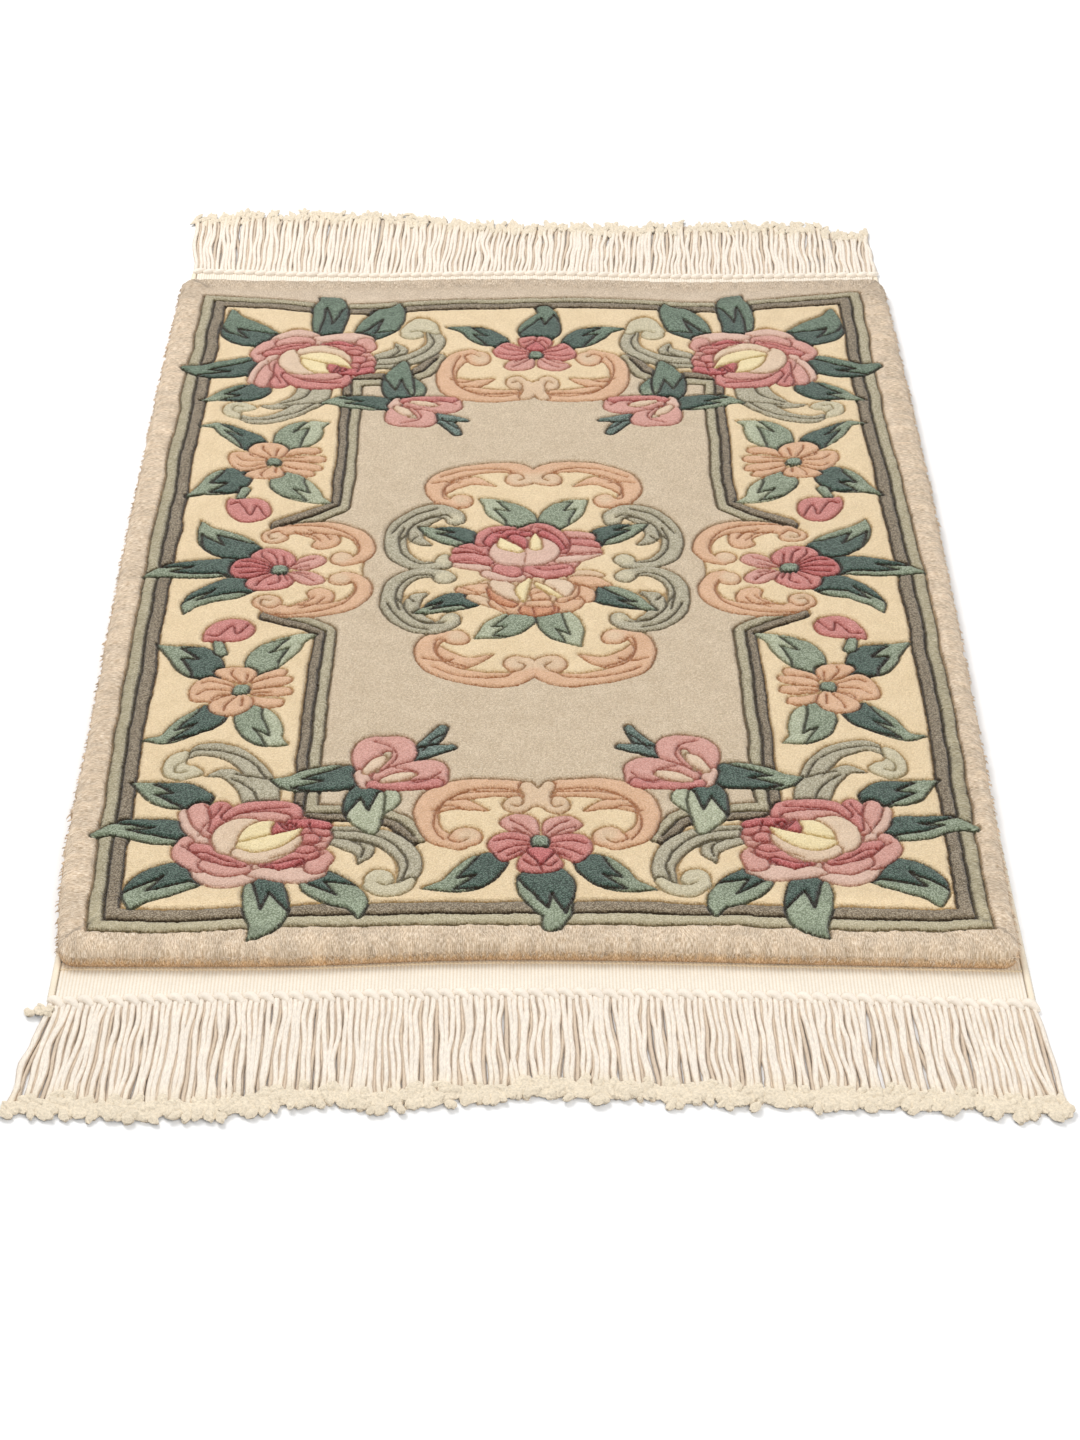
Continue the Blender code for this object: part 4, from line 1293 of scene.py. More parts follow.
class Shading:
    """A material and the nodes that feed its shader."""

    def __init__(self, name, roughness=0.95, sheen=0.0, specular=0.2):
        self.material = bpy.data.materials.new(name)
        self.material.use_nodes = True
        self.tree = self.material.node_tree
        self.shader = self.tree.nodes["Principled BSDF"]
        self.shader.inputs["Roughness"].default_value = roughness
        self.shader.inputs["Specular IOR Level"].default_value = specular
        self.shader.inputs["Sheen Weight"].default_value = sheen
        self.shader.inputs["Sheen Roughness"].default_value = 0.5

    def node(self, kind, settings=None, **inputs):
        """A node with its settings and inputs; an underscore in an input's name stands for a space."""
        node = self.tree.nodes.new(kind)
        for name, value in (settings or {}).items():
            setattr(node, name, value)
        for name, value in inputs.items():
            self.put(node.inputs[name.replace("_", " ")], value)
        return node

    def put(self, socket, value):
        """Links another node's output to a socket, or sets a constant value."""
        if isinstance(value, bpy.types.NodeSocket):
            self.tree.links.new(value, socket)
        else:
            socket.default_value = value

    def math(self, operation, *values):
        """A calculation with one or two values."""
        node = self.node("ShaderNodeMath", {"operation": operation})
        for socket, value in zip(node.inputs, values):
            self.put(socket, value)
        return node.outputs[0]

    def times(self, a, b):
        """The product of two values."""
        return self.math("MULTIPLY", a, b)

    def plus(self, a, b):
        """The sum of two values."""
        return self.math("ADD", a, b)

    def remap(self, value, from_low, from_high, low, high):
        """The value's range from from_low to from_high, carried over to low to high and held there."""
        limits = {"From_Min": from_low, "From_Max": from_high, "To_Min": low, "To_Max": high}
        return self.node("ShaderNodeMapRange", Value=value, **limits).outputs["Result"]

    def place(self, scale=(1.0, 1.0, 1.0)):
        """The piece's own coordinates in metres, stretched by scale."""
        return self.stretched(self.node("ShaderNodeTexCoord").outputs["Object"], scale)

    def stretched(self, vector, scale):
        """A place multiplied by scale; a small factor draws a texture out that way."""
        return self.node("ShaderNodeMapping", Vector=vector, Scale=scale).outputs["Vector"]

    def attribute(self, name, output="Fac"):
        """What the mesh carries under a name."""
        return self.node("ShaderNodeAttribute", {"attribute_name": name}).outputs[output]

    def noise(self, vector, per_metre, detail=2.0, roughness=0.5):
        """Smooth noise with so many bumps to a metre."""
        settings = {"Scale": per_metre, "Detail": detail, "Roughness": roughness}
        return self.node("ShaderNodeTexNoise", Vector=vector, **settings).outputs["Fac"]

    def cells(self, vector, per_metre):
        """Distance from each cell's middle, and a random grey for each cell."""
        node = self.node("ShaderNodeTexVoronoi", Vector=vector, Scale=per_metre)
        grey = self.node("ShaderNodeSeparateColor", Color=node.outputs["Color"]).outputs[0]
        return node.outputs["Distance"], grey

    def shaded(self, colour, factor):
        """The colour times a factor."""
        node = self.node("ShaderNodeVectorMath", {"operation": "SCALE"}, Scale=factor)
        self.put(node.inputs[0], colour)
        return node.outputs[0]

    def blend(self, factor, a, b):
        """From colour a at factor 0 to colour b at 1."""
        node = self.node("ShaderNodeMix", {"data_type": "RGBA"})
        # The sockets of a colour mix stand behind those for numbers and vectors
        for socket, value in ((0, factor), (6, a), (7, b)):
            self.put(node.inputs[socket], value)
        return node.outputs[2]

    def deepened(self, colour, power):
        """The colour to a power: above 1 darker and richer."""
        return self.node("ShaderNodeGamma", Color=colour, Gamma=power).outputs["Color"]

    def mixed(self, share, a, b):
        """From number a at share 0 to number b at 1."""
        rest = self.times(a, self.math("SUBTRACT", 1.0, share))
        return self.plus(rest, self.times(b, share))

    def clouds(self, place, low, high, per_metre=60.0):
        """A factor that drifts between low and high over the piece."""
        return self.remap(self.noise(place, per_metre, 3.0), 0.3, 0.7, low, high)

    def finish(self, colour, height, bump_mm, strength=1.0):
        """The material, with its colour and a bump of so many millimetres."""
        self.put(self.shader.inputs["Base Color"], colour)
        bump = self.node("ShaderNodeBump", Height=height, Distance=bump_mm * MM, Strength=strength)
        self.put(self.shader.inputs["Normal"], bump.outputs["Normal"])
        return self.material


def wool_material():
    """Cut wool: tufts' tips are specks, carved lines are painted in shade, the border's long fibres are
    streaks.
    """
    s = Shading("wool_pile", sheen=0.25)
    shag = s.attribute("shag")
    dye = s.attribute("dye", "Color")
    light = s.node("ShaderNodeSeparateColor", Color=dye).outputs[0]

    def by_yarn(dark, pale):
        """A value that runs from dark yarns to pale ones."""
        return s.remap(light, 0.25, 0.70, dark, pale)

    # The short pile's tufts, and the long fibres of the border
    place = s.place((1.0, 1.0, 0.25))
    far, grey = s.cells(place, 980.0)
    grain = s.noise(place, 1250.0, 2.0, 0.6)
    tuft = s.times(s.remap(far, 0.1, 0.75, 1.24, 0.66), s.remap(grey, 0.0, 1.0, 0.77, 1.21))
    tuft = s.times(tuft, s.remap(grain, 0.35, 0.65, 0.85, 1.15))
    comb = s.attribute("comb", "Vector")
    fine = s.noise(s.stretched(comb, (1.0, 0.16, 1.0)), 1700.0, 2.0, 0.6)
    wide = s.noise(s.stretched(comb, (1.0, 0.40, 1.0)), 640.0, 2.0)
    streaks = s.remap(wide, 0.34, 0.6, 0.93, 1.05)
    shaggy = s.times(s.remap(fine, 0.36, 0.62, 0.58, 1.20), streaks)
    # Dark yarns show their fibres more than pale ones
    lively = s.remap(light, 0.2, 0.8, 1.6, 0.4)
    tuft = s.plus(s.times(s.math("SUBTRACT", tuft, 0.91), lively), 0.94)
    factor = s.mixed(shag, tuft, shaggy)
    factor = s.times(factor, s.clouds(place, 0.955, 1.045))
    # The shade between fibres is deeper in colour, not greyer
    power = s.remap(factor, 0.6, 1.2, s.remap(shag, 0.0, 1.0, 1.40, 1.65), 0.90)
    fibre_shaded = s.deepened(dye, power)
    # Painted shade in a carved line: its dye darker and richer still, with some painted brown shade at its
    # bottom
    line_shade_colour = s.shaded(s.deepened(dye, 2.0), by_yarn(0.27, 0.78))
    line_shade_colour = s.blend(by_yarn(0.55, 0.16), line_shade_colour, (*linear(CREVICE_SHADE), 1.0))
    line = s.plus(s.attribute("line"), s.remap(grey, 0.0, 1.0, -0.2, 0.2))
    low = by_yarn(0.11, 0.27)
    line = s.remap(line, low, s.plus(low, 0.36), 0.0, 1.0)
    colour = s.shaded(s.blend(line, fibre_shaded, line_shade_colour), s.remap(factor, 0.5, 1.4, 0.66, 1.26))
    height = s.plus(s.times(far, -0.9), grain)
    height = s.plus(height, s.times(s.plus(fine, wide), shag))
    return s.finish(colour, height, 1.0, 0.9)


def cotton_material(name, colour):
    """Plain twisted cotton."""
    s = Shading(name, sheen=0.15)
    place = s.place()
    fibre = s.noise(place, 1100.0, 3.0, 0.6)
    factor = s.times(s.clouds(place, 0.95, 1.04), s.remap(fibre, 0.3, 0.7, 0.94, 1.05))
    return s.finish(s.shaded(tuple(linear(colour)), factor), fibre, 0.25, 0.6)


def flat_weave_material():
    """Ribbed cotton, with painted tan shade in its furrows and at the foot of the pile."""
    s = Shading("foundation_cotton", sheen=0.15)
    x = s.node("ShaderNodeSeparateXYZ", Vector=s.place()).outputs["X"]
    rib_width = 2.0 * GROUND_HALF_WIDTH * MM / RIBS
    turn = s.times(s.plus(x, GROUND_HALF_WIDTH * MM), 2.0 * np.pi / rib_width)
    furrow = s.remap(s.math("COSINE", turn), -0.6, 1.0, 0.0, 1.0)
    picks = s.noise(s.place((0.5, 1.0, 1.0)), 1400.0, 2.0, 0.6)
    # Painted shade: the furrows and the pile's foot blend towards the tan shade colour
    shade = s.plus(s.times(furrow, 0.45), s.times(s.attribute("foot"), 0.5))
    colour = s.blend(shade, (*linear(KILIM), 1.0), (*linear(KILIM_SHADE), 1.0))
    factor = s.times(s.clouds(s.place(), 0.97, 1.02), s.remap(picks, 0.3, 0.7, 0.93, 1.04))
    return s.finish(s.shaded(colour, factor), picks, 0.3, 0.7)


def strand_material():
    """Loose cotton, with painted tan shade on the strands' flanks where they press together, and yellower at
    the frayed tips.
    """
    s = Shading("fringe_cotton", sheen=0.3)
    place = s.place()
    fray = s.attribute("fray")
    twist = s.noise(s.place((1.0, 0.22, 1.0)), 1300.0, 3.0, 0.6)
    fluff = s.noise(place, 620.0, 3.0, 0.65)
    fibre = s.mixed(fray, twist, fluff)
    colour = s.blend(fray, (*linear(STRAND), 1.0), (*linear(TIP), 1.0))
    # Painted shade on the flanks, by the side attribute
    colour = s.blend(s.attribute("side"), colour, (*linear(STRAND_SHADE), 1.0))
    gaps = s.remap(fray, 0.0, 1.0, 0.80, 0.74)
    factor = s.times(s.clouds(place, 0.96, 1.03, 80.0), s.remap(fibre, 0.3, 0.7, gaps, 1.07))
    height = s.plus(fibre, s.times(fluff, s.times(fray, 1.5)))
    return s.finish(s.shaded(colour, factor), height, 0.5, 0.8)


# The sheet under the pile, and its flat-woven ends
GROUND_HALF_WIDTH = 299.7
NEAR_KNOT_LINE = ((-300, -485.5), (-150, -480), (0, -477), (150, -480), (300, -487.5))
FAR_KNOT_LINE = ((-300, 479), (-160, 472), (0, 477), (150, 471), (300, 476))
GROUND_TOP = 2.5
RIBS = 272
RIB_HEIGHT = 0.3

# Where the sheet passes under the pile, and its rows of points, closer together at the pile's foot
COVERED = 440.0
SHOWN_ROWS = np.array([0.0, 0.2, 0.4, 0.52, 0.6, 0.68, 0.78, 1.0])


def make_ground(material):
    """One cotton sheet, ribbed along the warp where it shows at both ends."""
    x = np.linspace(-GROUND_HALF_WIDTH, GROUND_HALF_WIDTH, RIBS * 3 + 1)
    near, far = along(NEAR_KNOT_LINE, x), along(FAR_KNOT_LINE, x)
    rows = [near + (-COVERED - near) * t for t in SHOWN_ROWS]
    y = np.array(rows + [COVERED + (far - COVERED) * t for t in SHOWN_ROWS])
    across = np.broadcast_to(x, y.shape)
    ribs = RIB_HEIGHT * (np.arange(len(x)) % 3 > 0)
    z = GROUND_TOP - RIB_HEIGHT + ribs + 0.06 * cloudy(across, y, 1.3, 41)
    top = np.stack([across, y, z], axis=-1)
    ground = slab("foundation_cloth", top, material)
    # Painted tan shade at the pile's foot: full within 2 mm of the pile's edge, fading over some 5 mm beyond
    end = np.where(y < 0.0, along(NEAR_END, x), along(FAR_END, x)) + PILE_HALF_LENGTH
    foot = np.exp(-np.maximum(np.abs(y) - end - 2.0, 0.0) / 5.0).ravel()
    add_values(ground, "foot", np.append(foot, np.ones(len(ground.data.vertices) - len(foot))))
    return ground


def slab(name, top, material):
    """A closed sheet from a grid of top points down to the floor."""
    rows, columns = top.shape[:2]
    face = np.arange(rows * columns).reshape(rows, columns)
    quads = quads_between(face[:-1, :-1], face[:-1, 1:], face[1:, 1:], face[1:, :-1])
    loop_j, loop_i = rim_loop(rows, columns)
    low = top[loop_j, loop_i].copy()
    low[:, 2] = 0.0
    high_ids, low_ids = face[loop_j, loop_i], rows * columns + np.arange(len(loop_j))
    sides = quads_between(low_ids, np.roll(low_ids, -1), np.roll(high_ids, -1), high_ids)
    points = np.vstack([top.reshape(-1, 3), low])
    obj = mesh_object(name, points, [np.vstack([quads, sides]), low_ids[None, ::-1]], material)
    obj.data.set_sharp_from_angle(angle=np.radians(50.0))
    return obj


# Tubes

def unit(vectors):
    """The vectors at a length of one."""
    return vectors / np.maximum(np.linalg.norm(vectors, axis=-1, keepdims=True), 1e-9)


def around_tube(sides):
    """The angle of each side of a tube."""
    return np.linspace(0.0, 2.0 * np.pi, sides, endpoint=False)


def tube_object(name, points, material):
    """An object of tubes, from points ordered (tube, station, side)."""
    return mesh_object(name, points.reshape(-1, 3), tube_faces(*points.shape[:3]), material)


def tube_faces(tubes, stations, sides):
    """Quads and end caps of many tubes whose points are ordered (tube, station, side)."""
    ids = np.arange(tubes * stations * sides).reshape(tubes, stations, sides)
    around = np.roll(ids, -1, axis=2)
    quads = quads_between(ids[:, :-1], ids[:, 1:], around[:, 1:], around[:, :-1])
    return [quads, ids[:, 0], ids[:, -1, ::-1]]


def lying_tubes(paths, widths, heights, sides):
    """Points of flattened tubes along paths (tube, station, xyz) that lie almost flat."""
    run = np.gradient(paths, axis=1)
    left = unit(np.stack([-run[..., 1], run[..., 0], np.zeros(run.shape[:2])], axis=-1))
    angle = around_tube(sides)
    across = -left[:, :, None] * (np.cos(angle) * 0.5)[:, None] * widths[..., None, None]
    up = np.zeros((*paths.shape[:2], sides, 3))
    up[..., 2] = np.sin(angle) * 0.5 * heights[..., None]
    return paths[:, :, None] + across + up


def free_tubes(paths, radius, sides):
    """Points of round tubes along paths (tube, station, xyz) that never run straight up."""
    run = unit(np.gradient(paths, axis=1))
    left = unit(np.cross((0.0, 0.0, 1.0), run))
    up = np.cross(run, left)
    angle = around_tube(sides)[:, None]
    ring = -np.cos(angle) * left[:, :, None] + np.sin(angle) * up[:, :, None]
    return paths[:, :, None] + ring * radius[..., None, None]


def swept_tube(path, radius, sides):
    """Points of a round tube along any path, without twist."""
    run = unit(np.gradient(path, axis=0))
    normal = np.cross(run[0], (0.3, 0.1, 0.9))
    angle = around_tube(sides)[:, None]
    rings = []
    for place, ahead, r in zip(path, run, radius):
        normal = unit(normal - ahead * normal.dot(ahead))
        other = np.cross(ahead, normal)
        rings.append(place + r * (np.cos(angle) * normal - np.sin(angle) * other))
    return np.array(rings)


# Overcast cords at the sides
CORD_MIDDLE = 302.5
CORD_SIZE = (5.0, 2.5)
CORD_SIDES = 6
STITCH_PITCH = 2.6
STITCH_WAIST = 0.82
STITCH_SLANT = 0.22


def make_side_cord(name, node, side, material):
    """A cord along one side, narrower between its stitches, with its rings at a slant."""
    x = side * CORD_MIDDLE
    near, far = float(along(NEAR_KNOT_LINE, x)), float(along(FAR_KNOT_LINE, x))
    count = round((far - near) / STITCH_PITCH) * 2 + 1
    y = np.linspace(near, far, count)
    swell = np.where(np.arange(count) % 2 == 0, STITCH_WAIST, 1.0)
    path = np.stack([np.full(count, x), y, np.full(count, CORD_SIZE[1] / 2)], axis=-1)[None]
    points = lying_tubes(path, CORD_SIZE[0] * swell[None], CORD_SIZE[1] * swell[None], CORD_SIDES)
    slant = (points[..., 0] - x) * side * STITCH_SLANT
    points[..., 1] += np.where((np.arange(count) % (count - 1) == 0)[None, :, None], 0.0, slant)
    obj = tube_object(name, points, material)
    fit_piece(obj, node)
    return obj


# Fringe
KNOTS = 66
FRINGE_X = (-304.0, 304.5)
NEAR_TIPS = (
    (-300, -586), (-195, -586), (-150, -577), (-120, -580),
    (0, -570), (130, -577), (200, -578), (300, -587),
)
FAR_TIPS = (
    (-300, 594), (-220, 597), (-110, 591), (-50, 578),
    (60, 574), (180, 578), (250, 574), (300, 562),
)
NEAR_LEAN = ((-304, -11), (-260, -3), (-100, 1), (150, 3), (260, 4), (304, 7))
FAR_LEAN = ((-304, -7), (-260, -3), (-120, 4), (0, 7), (150, 5), (304, 2))
STRAND_WIDTH = 4.0
STRAND_HEIGHT = 3.0
STRAND_STATIONS = 19
STRAND_SIDES = 6
UNDER_SIZE = (3.6, 2.0)
UNDER_STATIONS = 7
UNDER_SIDES = 4

# The strands' sideways waves: how many half waves, and how wide
SWAYS = ((1, 1.3), (2, 1.2), (3, 0.9), (4, 0.7), (6, 0.4))
ROOT_OFFSET = 2.2
NEAR_RAGGED = 6.0
FAR_RAGGED = 12.0
CROSSING_LIFT = 1.6


def strand_roots():
    """The x of every strand's root, two or three to a knot, and the edges of the knots."""
    edges = np.linspace(*FRINGE_X, KNOTS + 1)
    roots = []
    for number, (left, right) in enumerate(zip(edges, edges[1:])):
        lines = np.linspace(left, right, 4 if number % 5 in (1, 3) else 3)
        roots.extend((lines[:-1] + lines[1:]) / 2)
    roots = np.array(roots)
    even = np.linspace(roots[0], roots[-1], len(roots))
    return (roots + even) / 2, edges


def strand_paths(outward, knot_line, tips, lean, random):
    """The line of each strand from its knot to its tip, lifted where it comes near the next."""
    roots, _ = strand_roots()
    count = len(roots)
    s = np.linspace(0.0, 1.0, STRAND_STATIONS)
    start = along(knot_line, roots) + outward * ROOT_OFFSET
    ragged = NEAR_RAGGED if outward < 0 else FAR_RAGGED
    end = along(tips, roots) + outward * (0.4 * ragged - random.uniform(0.0, ragged, count))
    drift = along(lean, roots) + random.normal(0.0, 1.5, count)
    wander = np.zeros((count, STRAND_STATIONS))
    for wave, size in SWAYS:
        field = size * 1.1 * cloudy(roots, np.full(count, wave * 50.0), 11.0, 51 + wave)
        own = random.normal(0.0, size * 0.3, count)
        wander += np.outer(field + own, np.sin(np.pi * wave * s) * np.minimum(1.0, s * 5.0))
    x = roots[:, None] + np.outer(drift, s) + wander
    y = start[:, None] + (end - start)[:, None] * s
    lift = np.abs(wander - np.roll(wander, 1, axis=0)) * 0.35
    z = STRAND_HEIGHT / 2 + np.clip(lift, 0.0, CROSSING_LIFT)
    return np.stack([x, y, z], axis=-1)


def make_fringe(end, node, outward, knot_line, tips, lean, cotton, fray):
    """All pieces of one end's fringe."""
    random = np.random.default_rng(61 if outward < 0 else 62)
    paths = strand_paths(outward, knot_line, tips, lean, random)
    count = len(paths)
    s = np.linspace(0.0, 1.0, STRAND_STATIONS)
    uneven = 0.06 * random.normal(0.0, 1.0, (count, STRAND_STATIONS))
    swell = 1.0 + uneven + 0.35 * np.clip((s - 0.8) / 0.2, 0.0, 1.0)
    widths = STRAND_WIDTH * swell * random.uniform(0.88, 1.1, count)[:, None]
    heights = np.minimum(STRAND_HEIGHT * swell, 2.0 * paths[..., 2])
    widths[:, -1] *= 0.7
    points = lying_tubes(paths, widths, heights, STRAND_SIDES)
    points[:, -5:] += random.normal(0.0, 0.22, points[:, -5:].shape)
    points[..., 2] = np.maximum(points[..., 2], 0.0)
    strands = tube_object(f"strands_{end}", points, fray)
    frayed = np.clip((s - 0.72) / 0.22, 0.0, 1.0)
    add_values(strands, "fray", np.broadcast_to(frayed[None, :, None], points.shape[:3]).ravel())
    # Painted shade on each strand's flanks, where it lies against its neighbours
    flank = np.abs(np.cos(around_tube(STRAND_SIDES)))
    flank = np.clip(2.0 * flank - 1.0, 0.0, 1.0) * 0.9
    add_values(strands, "side", np.broadcast_to(flank, points.shape[:3]).ravel())
    under = make_under_strands(f"under_{end}", paths, random, fray)
    pieces = [strands, under, make_tufts(f"tufts_{end}", paths, outward, random, fray)]
    # Only the near ends are matted
    if outward < 0:
        pieces.append(make_fluff(f"fluff_{end}", paths, outward, random, fray))
    pieces.append(make_knots(f"knots_{end}", outward, knot_line, random, cotton))
    for piece in pieces:
        fit_piece(piece, node)
    return pieces


def make_under_strands(name, paths, random, material):
    """The lower layer of cords, seen between those on top."""
    between = (paths[1:] + paths[:-1]) / 2.0
    picked = np.linspace(0, paths.shape[1] - 1, UNDER_STATIONS).round().astype(int)
    under = between[:, picked]
    count = len(under)
    sway = np.sin(np.pi * np.linspace(0.0, 1.0, UNDER_STATIONS) * 2.0)
    under[..., 0] += np.outer(random.normal(0.0, 1.2, count), sway)
    under[..., 2] = 1.0
    under[:, -1, 1] -= (under[:, -1, 1] - under[:, 0, 1]) * random.uniform(0.02, 0.08, count)
    widths, heights = (np.full(under.shape[:2], size) for size in UNDER_SIZE)
    points = lying_tubes(under, widths, heights, UNDER_SIDES)
    obj = tube_object(name, points, material)
    add_values(obj, "fray", np.zeros(points[..., 0].size))
    # The lower strands lie under the top ones and are painted in shade all over, at a little over half
    # strength
    add_values(obj, "side", np.full(points[..., 0].size, 0.55))
    return obj


TUFTS_PER_TIP = 3
TUFT_SIDES = 6
TUFT_STATIONS = 5
TUFT_TOP = 5.6
FLUFF_STATIONS = 330
FLUFF_SIDES = 14


def fluffy(middles, ways, half, radius, random):
    """Points of short lumpy rolls of loose cotton."""
    s = np.linspace(-1.0, 1.0, TUFT_STATIONS)
    paths = middles[:, None] + ways[:, None] * (s[None, :] * half[:, None])[..., None]
    around = np.sqrt(1.0 - 0.86 * s**2)
    thick = radius[:, None] * around * random.uniform(0.85, 1.12, (len(middles), TUFT_STATIONS))
    points = free_tubes(paths, thick, TUFT_SIDES)
    points += random.normal(0.0, 0.22, points.shape)
    points[..., 2] = np.clip(points[..., 2], 0.0, TUFT_TOP)
    return points


def loose_cotton(name, points, material):
    """One mesh of fluffy rolls; its normals lean up, as light goes some way into loose cotton."""
    faces = tube_faces(*points.shape[:3])
    flat = points.reshape(-1, 3)
    obj = mesh_object(name, flat, faces, material)
    normals = unit(point_normals(flat, faces[0].reshape(-1, 4)) * 0.5 + (0.0, 0.0, 0.75))
    obj.data.normals_split_custom_set_from_vertices(normals.tolist())
    add_values(obj, "fray", np.ones(len(flat)))
    # Painted shade low on each roll, gone 1.8 mm above the floor
    add_values(obj, "side", np.clip(0.45 - flat[:, 2] / 4.0, 0.0, 0.45))
    return obj


def make_fluff(name, paths, outward, random, material):
    """The frayed ends matted together in one low lumpy roll, with the tufts lying in it."""
    x = np.linspace(paths[0, -1, 0] - 3.0, paths[-1, -1, 0] + 3.0, FLUFF_STATIONS)
    order = np.argsort(paths[:, -1, 0])
    tip = np.interp(x, paths[order, -1, 0], paths[order, -1, 1])
    tip = np.convolve(np.pad(tip, 3, mode="edge"), np.ones(7) / 7.0, mode="valid")
    lump = cloudy(x, np.zeros_like(x), 8.0, 71)
    path = np.column_stack([x, tip - outward * (5.0 - 2.6 * lump), np.full(len(x), 2.0)])
    widths = 12.5 + 5.0 * cloudy(x, np.full_like(x, 40.0), 6.0, 72)
    heights = 4.0 + 0.8 * lump
    widths[[0, -1]] *= 0.3
    points = lying_tubes(path[None], widths[None], heights[None], FLUFF_SIDES)
    points += random.normal(0.0, 0.3, points.shape)
    points[..., 2] = np.clip(points[..., 2], 0.0, TUFT_TOP)
    return loose_cotton(name, points, material)


def make_tufts(name, paths, outward, random, material):
    """Soft frayed lumps of cotton about the last stretch of each strand."""
    count = len(paths) * TUFTS_PER_TIP
    tip = np.repeat(paths[:, -1], TUFTS_PER_TIP, axis=0)
    ahead = unit(np.repeat(paths[:, -1] - paths[:, -3], TUFTS_PER_TIP, axis=0))
    middles = tip + ahead * random.uniform(-13.0, 2.5, count)[:, None]
    middles[:, 1] += outward * 2.0 * cloudy(middles[:, 0], np.zeros(count), 9.0, 36)
    middles[:, 0] += random.normal(0.0, 1.8, count)
    middles[:, 2] = random.uniform(1.6, 2.9, count)
    # The far tips are drawn out in points, the near ones matted
    drawn = 0.7 if outward > 0 else 1.0
    angle = random.normal(0.0, 0.9 * drawn**2, count)
    ways = np.column_stack([np.sin(angle), outward * np.cos(angle), random.normal(0.0, 0.12, count)])
    half, radius = random.uniform(3.0, 5.0, count) / drawn, random.uniform(2.5, 3.5, count) * drawn
    points = fluffy(middles, ways, half, radius, random)
    return loose_cotton(name, points, material)


KNOT_STATIONS = 12
KNOT_SIDES = 7
KNOT_RADIUS = 3.2
KNOT_TOP = 6.2


def make_knots(name, outward, knot_line, random, material):
    """A plump slanting loop of yarn over each bundle of strands, lapping the next to its right."""
    _, edges = strand_roots()
    s = np.linspace(0.0, 1.0, KNOT_STATIONS)
    plump = np.sqrt(1.0 - 0.8 * (2.0 * s - 1.0) ** 2)
    blocks = []
    for left, right in zip(edges, edges[1:]):
        base = float(along(knot_line, (left + right) / 2)) + random.uniform(-0.5, 0.5)
        x = left + 0.4 + (right - left + 0.4) * (s - 0.18 * s * (1.0 - s))
        y = base + outward * (2.6 - 2.2 * np.sin(np.pi * s) + 4.6 * s**2.2)
        z = 2.0 + 0.8 * np.sin(np.pi * s) - 0.6 * s
        radius = KNOT_RADIUS * plump * random.uniform(0.93, 1.05)
        blocks.append(swept_tube(np.column_stack([x, y, z]), radius, KNOT_SIDES))
    points = np.array(blocks)
    points[..., 2] = np.clip(points[..., 2], 0.0, KNOT_TOP)
    return tube_object(name, points, material)


LOOSE_END = (-308.0, -495.0)
LOOSE_LUMPS = 14


def make_loose_end(material):
    """A fluffy stray end of cotton at the near left corner of the flat weave."""
    random = np.random.default_rng(64)
    count = LOOSE_LUMPS
    spread = random.uniform(-1.0, 1.0, (count, 2)) * (7.5, 3.6)
    middles = np.column_stack([np.add(LOOSE_END, spread), random.uniform(1.6, 3.6, count)])
    angle = random.uniform(0.0, np.pi, count)
    ways = np.column_stack([np.cos(angle), np.sin(angle), random.normal(0.0, 0.2, count)])
    half, radius = random.uniform(1.8, 3.4, count), random.uniform(1.5, 2.5, count)
    points = fluffy(middles, ways, half, radius, random)
    obj = loose_cotton("loose_end", points, material)
    fit_piece(obj, "fringe_near")
    return obj


# A twined line of thicker cotton at the foot of the pile
TWINE_PITCH = 3.0
TWINE_RADIUS = 0.95
TWINE_STEPS = 3
TWINE_SIDES = 5
TWINE_OUT = 2.6
TWINE_LOW = 1.9


def make_twine(name, side, material):
    """The row of stitches between the pile and the flat-woven end."""
    count = round(2.0 * GROUND_HALF_WIDTH / TWINE_PITCH) * TWINE_STEPS + 1
    x = np.linspace(-GROUND_HALF_WIDTH, GROUND_HALF_WIDTH, count)
    end = NEAR_END if side < 0 else FAR_END
    y = side * (PILE_HALF_LENGTH + along(end, x) + TWINE_OUT)
    phase = np.arange(count) / TWINE_STEPS * 2.0 * np.pi
    radius = TWINE_RADIUS * (0.65 + 0.35 * np.cos(phase))
    path = np.stack([x, y + side * 0.3 * np.sin(phase), TWINE_LOW + radius], axis=-1)
    points = free_tubes(path[None], radius[None], TWINE_SIDES)
    return tube_object(name, points, material)


# Floor, light and camera

CAMERA_PLACE = (-0.0166, -1.801, 1.1774)
CAMERA_YAW = 0.0106
CAMERA_DOWN = 0.6311
CAMERA_ROLL = 0.0079
FOCAL_PIXELS = 2850.24
PHOTO_HEIGHT = 1440
SENSOR = 36.0
FLOOR_GREY = 0.93


def make_camera():
    """The photo's camera, from its place in metres and its turns in radians."""
    level = np.cos(CAMERA_DOWN)
    ahead = Vector((np.sin(CAMERA_YAW) * level, np.cos(CAMERA_YAW) * level, -np.sin(CAMERA_DOWN)))
    right = Vector((np.cos(CAMERA_YAW), -np.sin(CAMERA_YAW), 0.0))
    up = right.cross(ahead)
    c, s = np.cos(CAMERA_ROLL), np.sin(CAMERA_ROLL)
    rolled_right, rolled_up = right * c + up * s, up * c - right * s
    data = bpy.data.cameras.new("camera")
    data.sensor_width = SENSOR
    data.lens = FOCAL_PIXELS * SENSOR / PHOTO_HEIGHT
    camera = bpy.data.objects.new("camera", data)
    axes = Matrix((rolled_right, rolled_up, -ahead)).transposed()
    camera.matrix_world = Matrix.Translation(CAMERA_PLACE) @ axes.to_4x4()
    bpy.context.scene.collection.objects.link(camera)
    bpy.context.scene.camera = camera


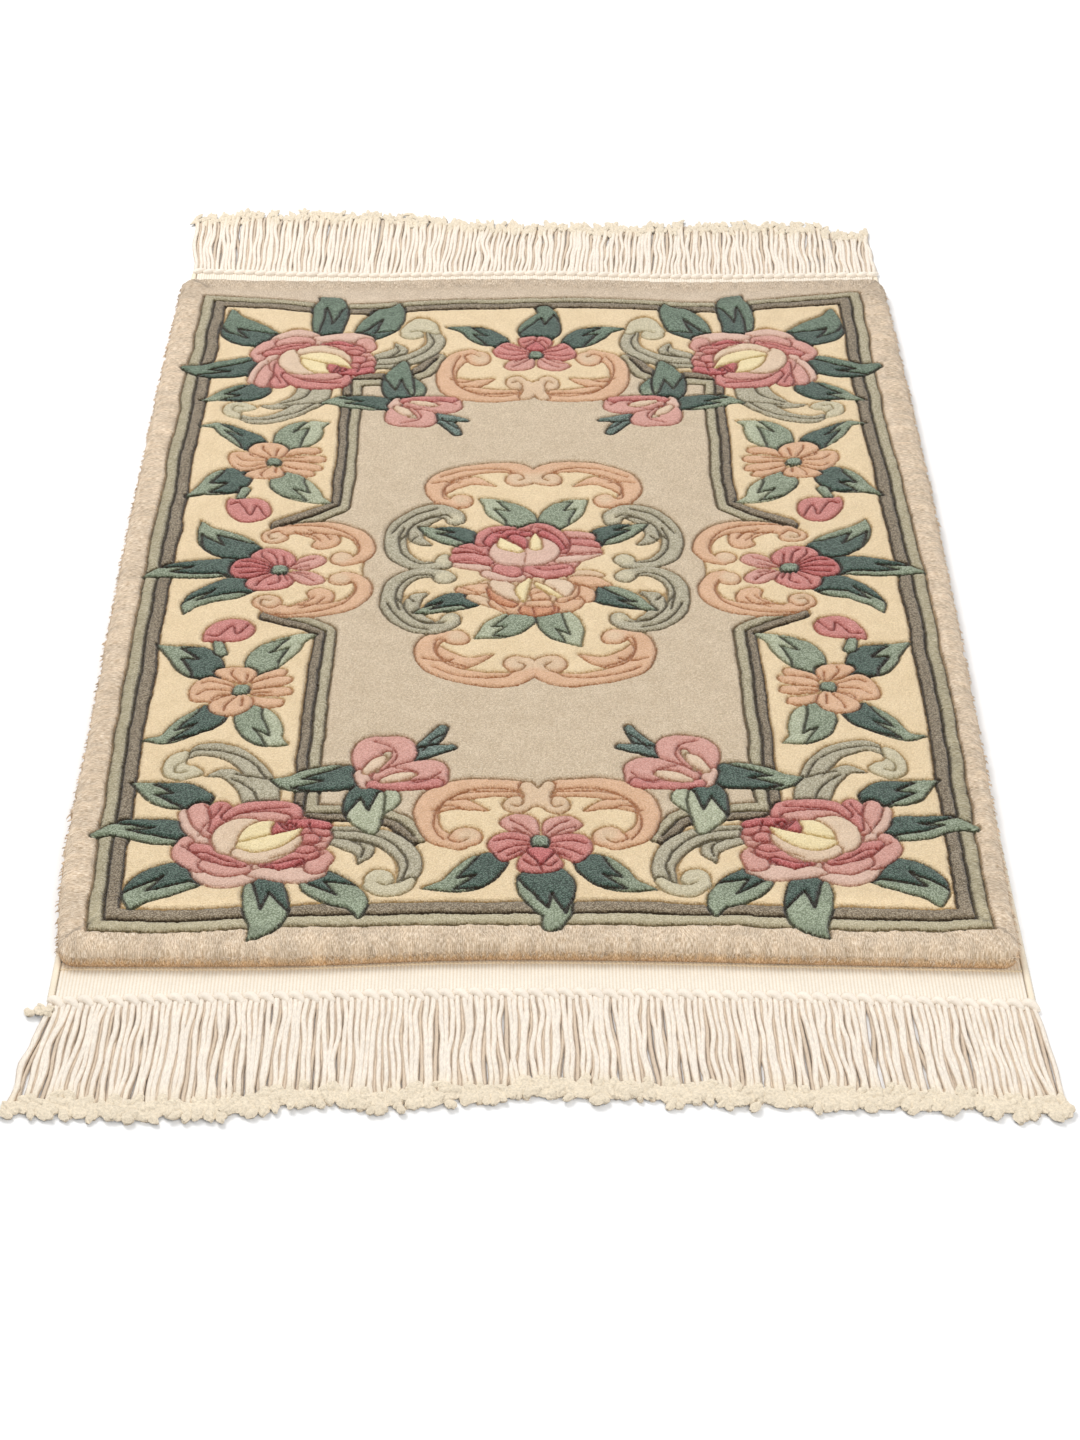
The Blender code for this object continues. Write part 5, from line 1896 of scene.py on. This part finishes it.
def add_light(name, place, size, watts):
    """A round soft light that shines on the rug's middle."""
    data = bpy.data.lights.new(name, "AREA")
    data.shape = "DISK"
    data.size = size
    data.energy = watts
    light = bpy.data.objects.new(name, data)
    light.location = place
    light.rotation_euler = (-Vector(place)).to_track_quat("-Z", "Y").to_euler()
    bpy.context.scene.collection.objects.link(light)


def make_studio():
    """Daylight from all round, a soft light from behind, a fill from in front, and a pale floor."""
    scene = bpy.context.scene
    scene.view_settings.view_transform = "Standard"
    world = bpy.data.worlds.new("studio")
    world.use_nodes = True
    background = world.node_tree.nodes["Background"]
    background.inputs["Color"].default_value = (1.0, 1.0, 1.0, 1.0)
    background.inputs["Strength"].default_value = 0.55
    scene.world = world
    add_light("key", (-1.3, 1.6, 2.6), 1.6, 74.5)
    add_light("fill", (0.9, -2.2, 2.0), 2.2, 35.0)
    s = Shading("floor", roughness=0.9)
    grain = s.remap(s.noise(s.place(), 6.0), 0.3, 0.7, 0.99, 1.0)
    s.put(s.shader.inputs["Base Color"], s.shaded((FLOOR_GREY,) * 3, grain))
    bpy.ops.mesh.primitive_plane_add(size=12.0)
    plane = bpy.context.object
    plane.name = "floor"
    plane.data.materials.append(s.material)


def main():
    make_camera()
    make_studio()
    overcast = cotton_material("overcast_cotton", OVERCAST)
    stitch = cotton_material("stitch_cotton", STITCH)
    cotton = cotton_material("knot_cotton", STRAND)
    fray = strand_material()
    pile = make_pile(wool_material())
    ground = make_ground(flat_weave_material())
    fit_piece(ground, "foundation")
    cords = [
        make_side_cord("overcast_left", "side_cord_left", -1.0, overcast),
        make_side_cord("overcast_right", "side_cord_right", 1.0, overcast),
    ]
    twines = [make_twine("twine_near", -1.0, stitch), make_twine("twine_far", 1.0, stitch)]
    for twine in twines:
        fit_piece(twine, "foundation")
    fringe = make_fringe("near", "fringe_near", -1.0, NEAR_KNOT_LINE, NEAR_TIPS, NEAR_LEAN, cotton, fray)
    fringe += make_fringe("far", "fringe_far", 1.0, FAR_KNOT_LINE, FAR_TIPS, FAR_LEAN, cotton, fray)
    fringe.append(make_loose_end(fray))


main()
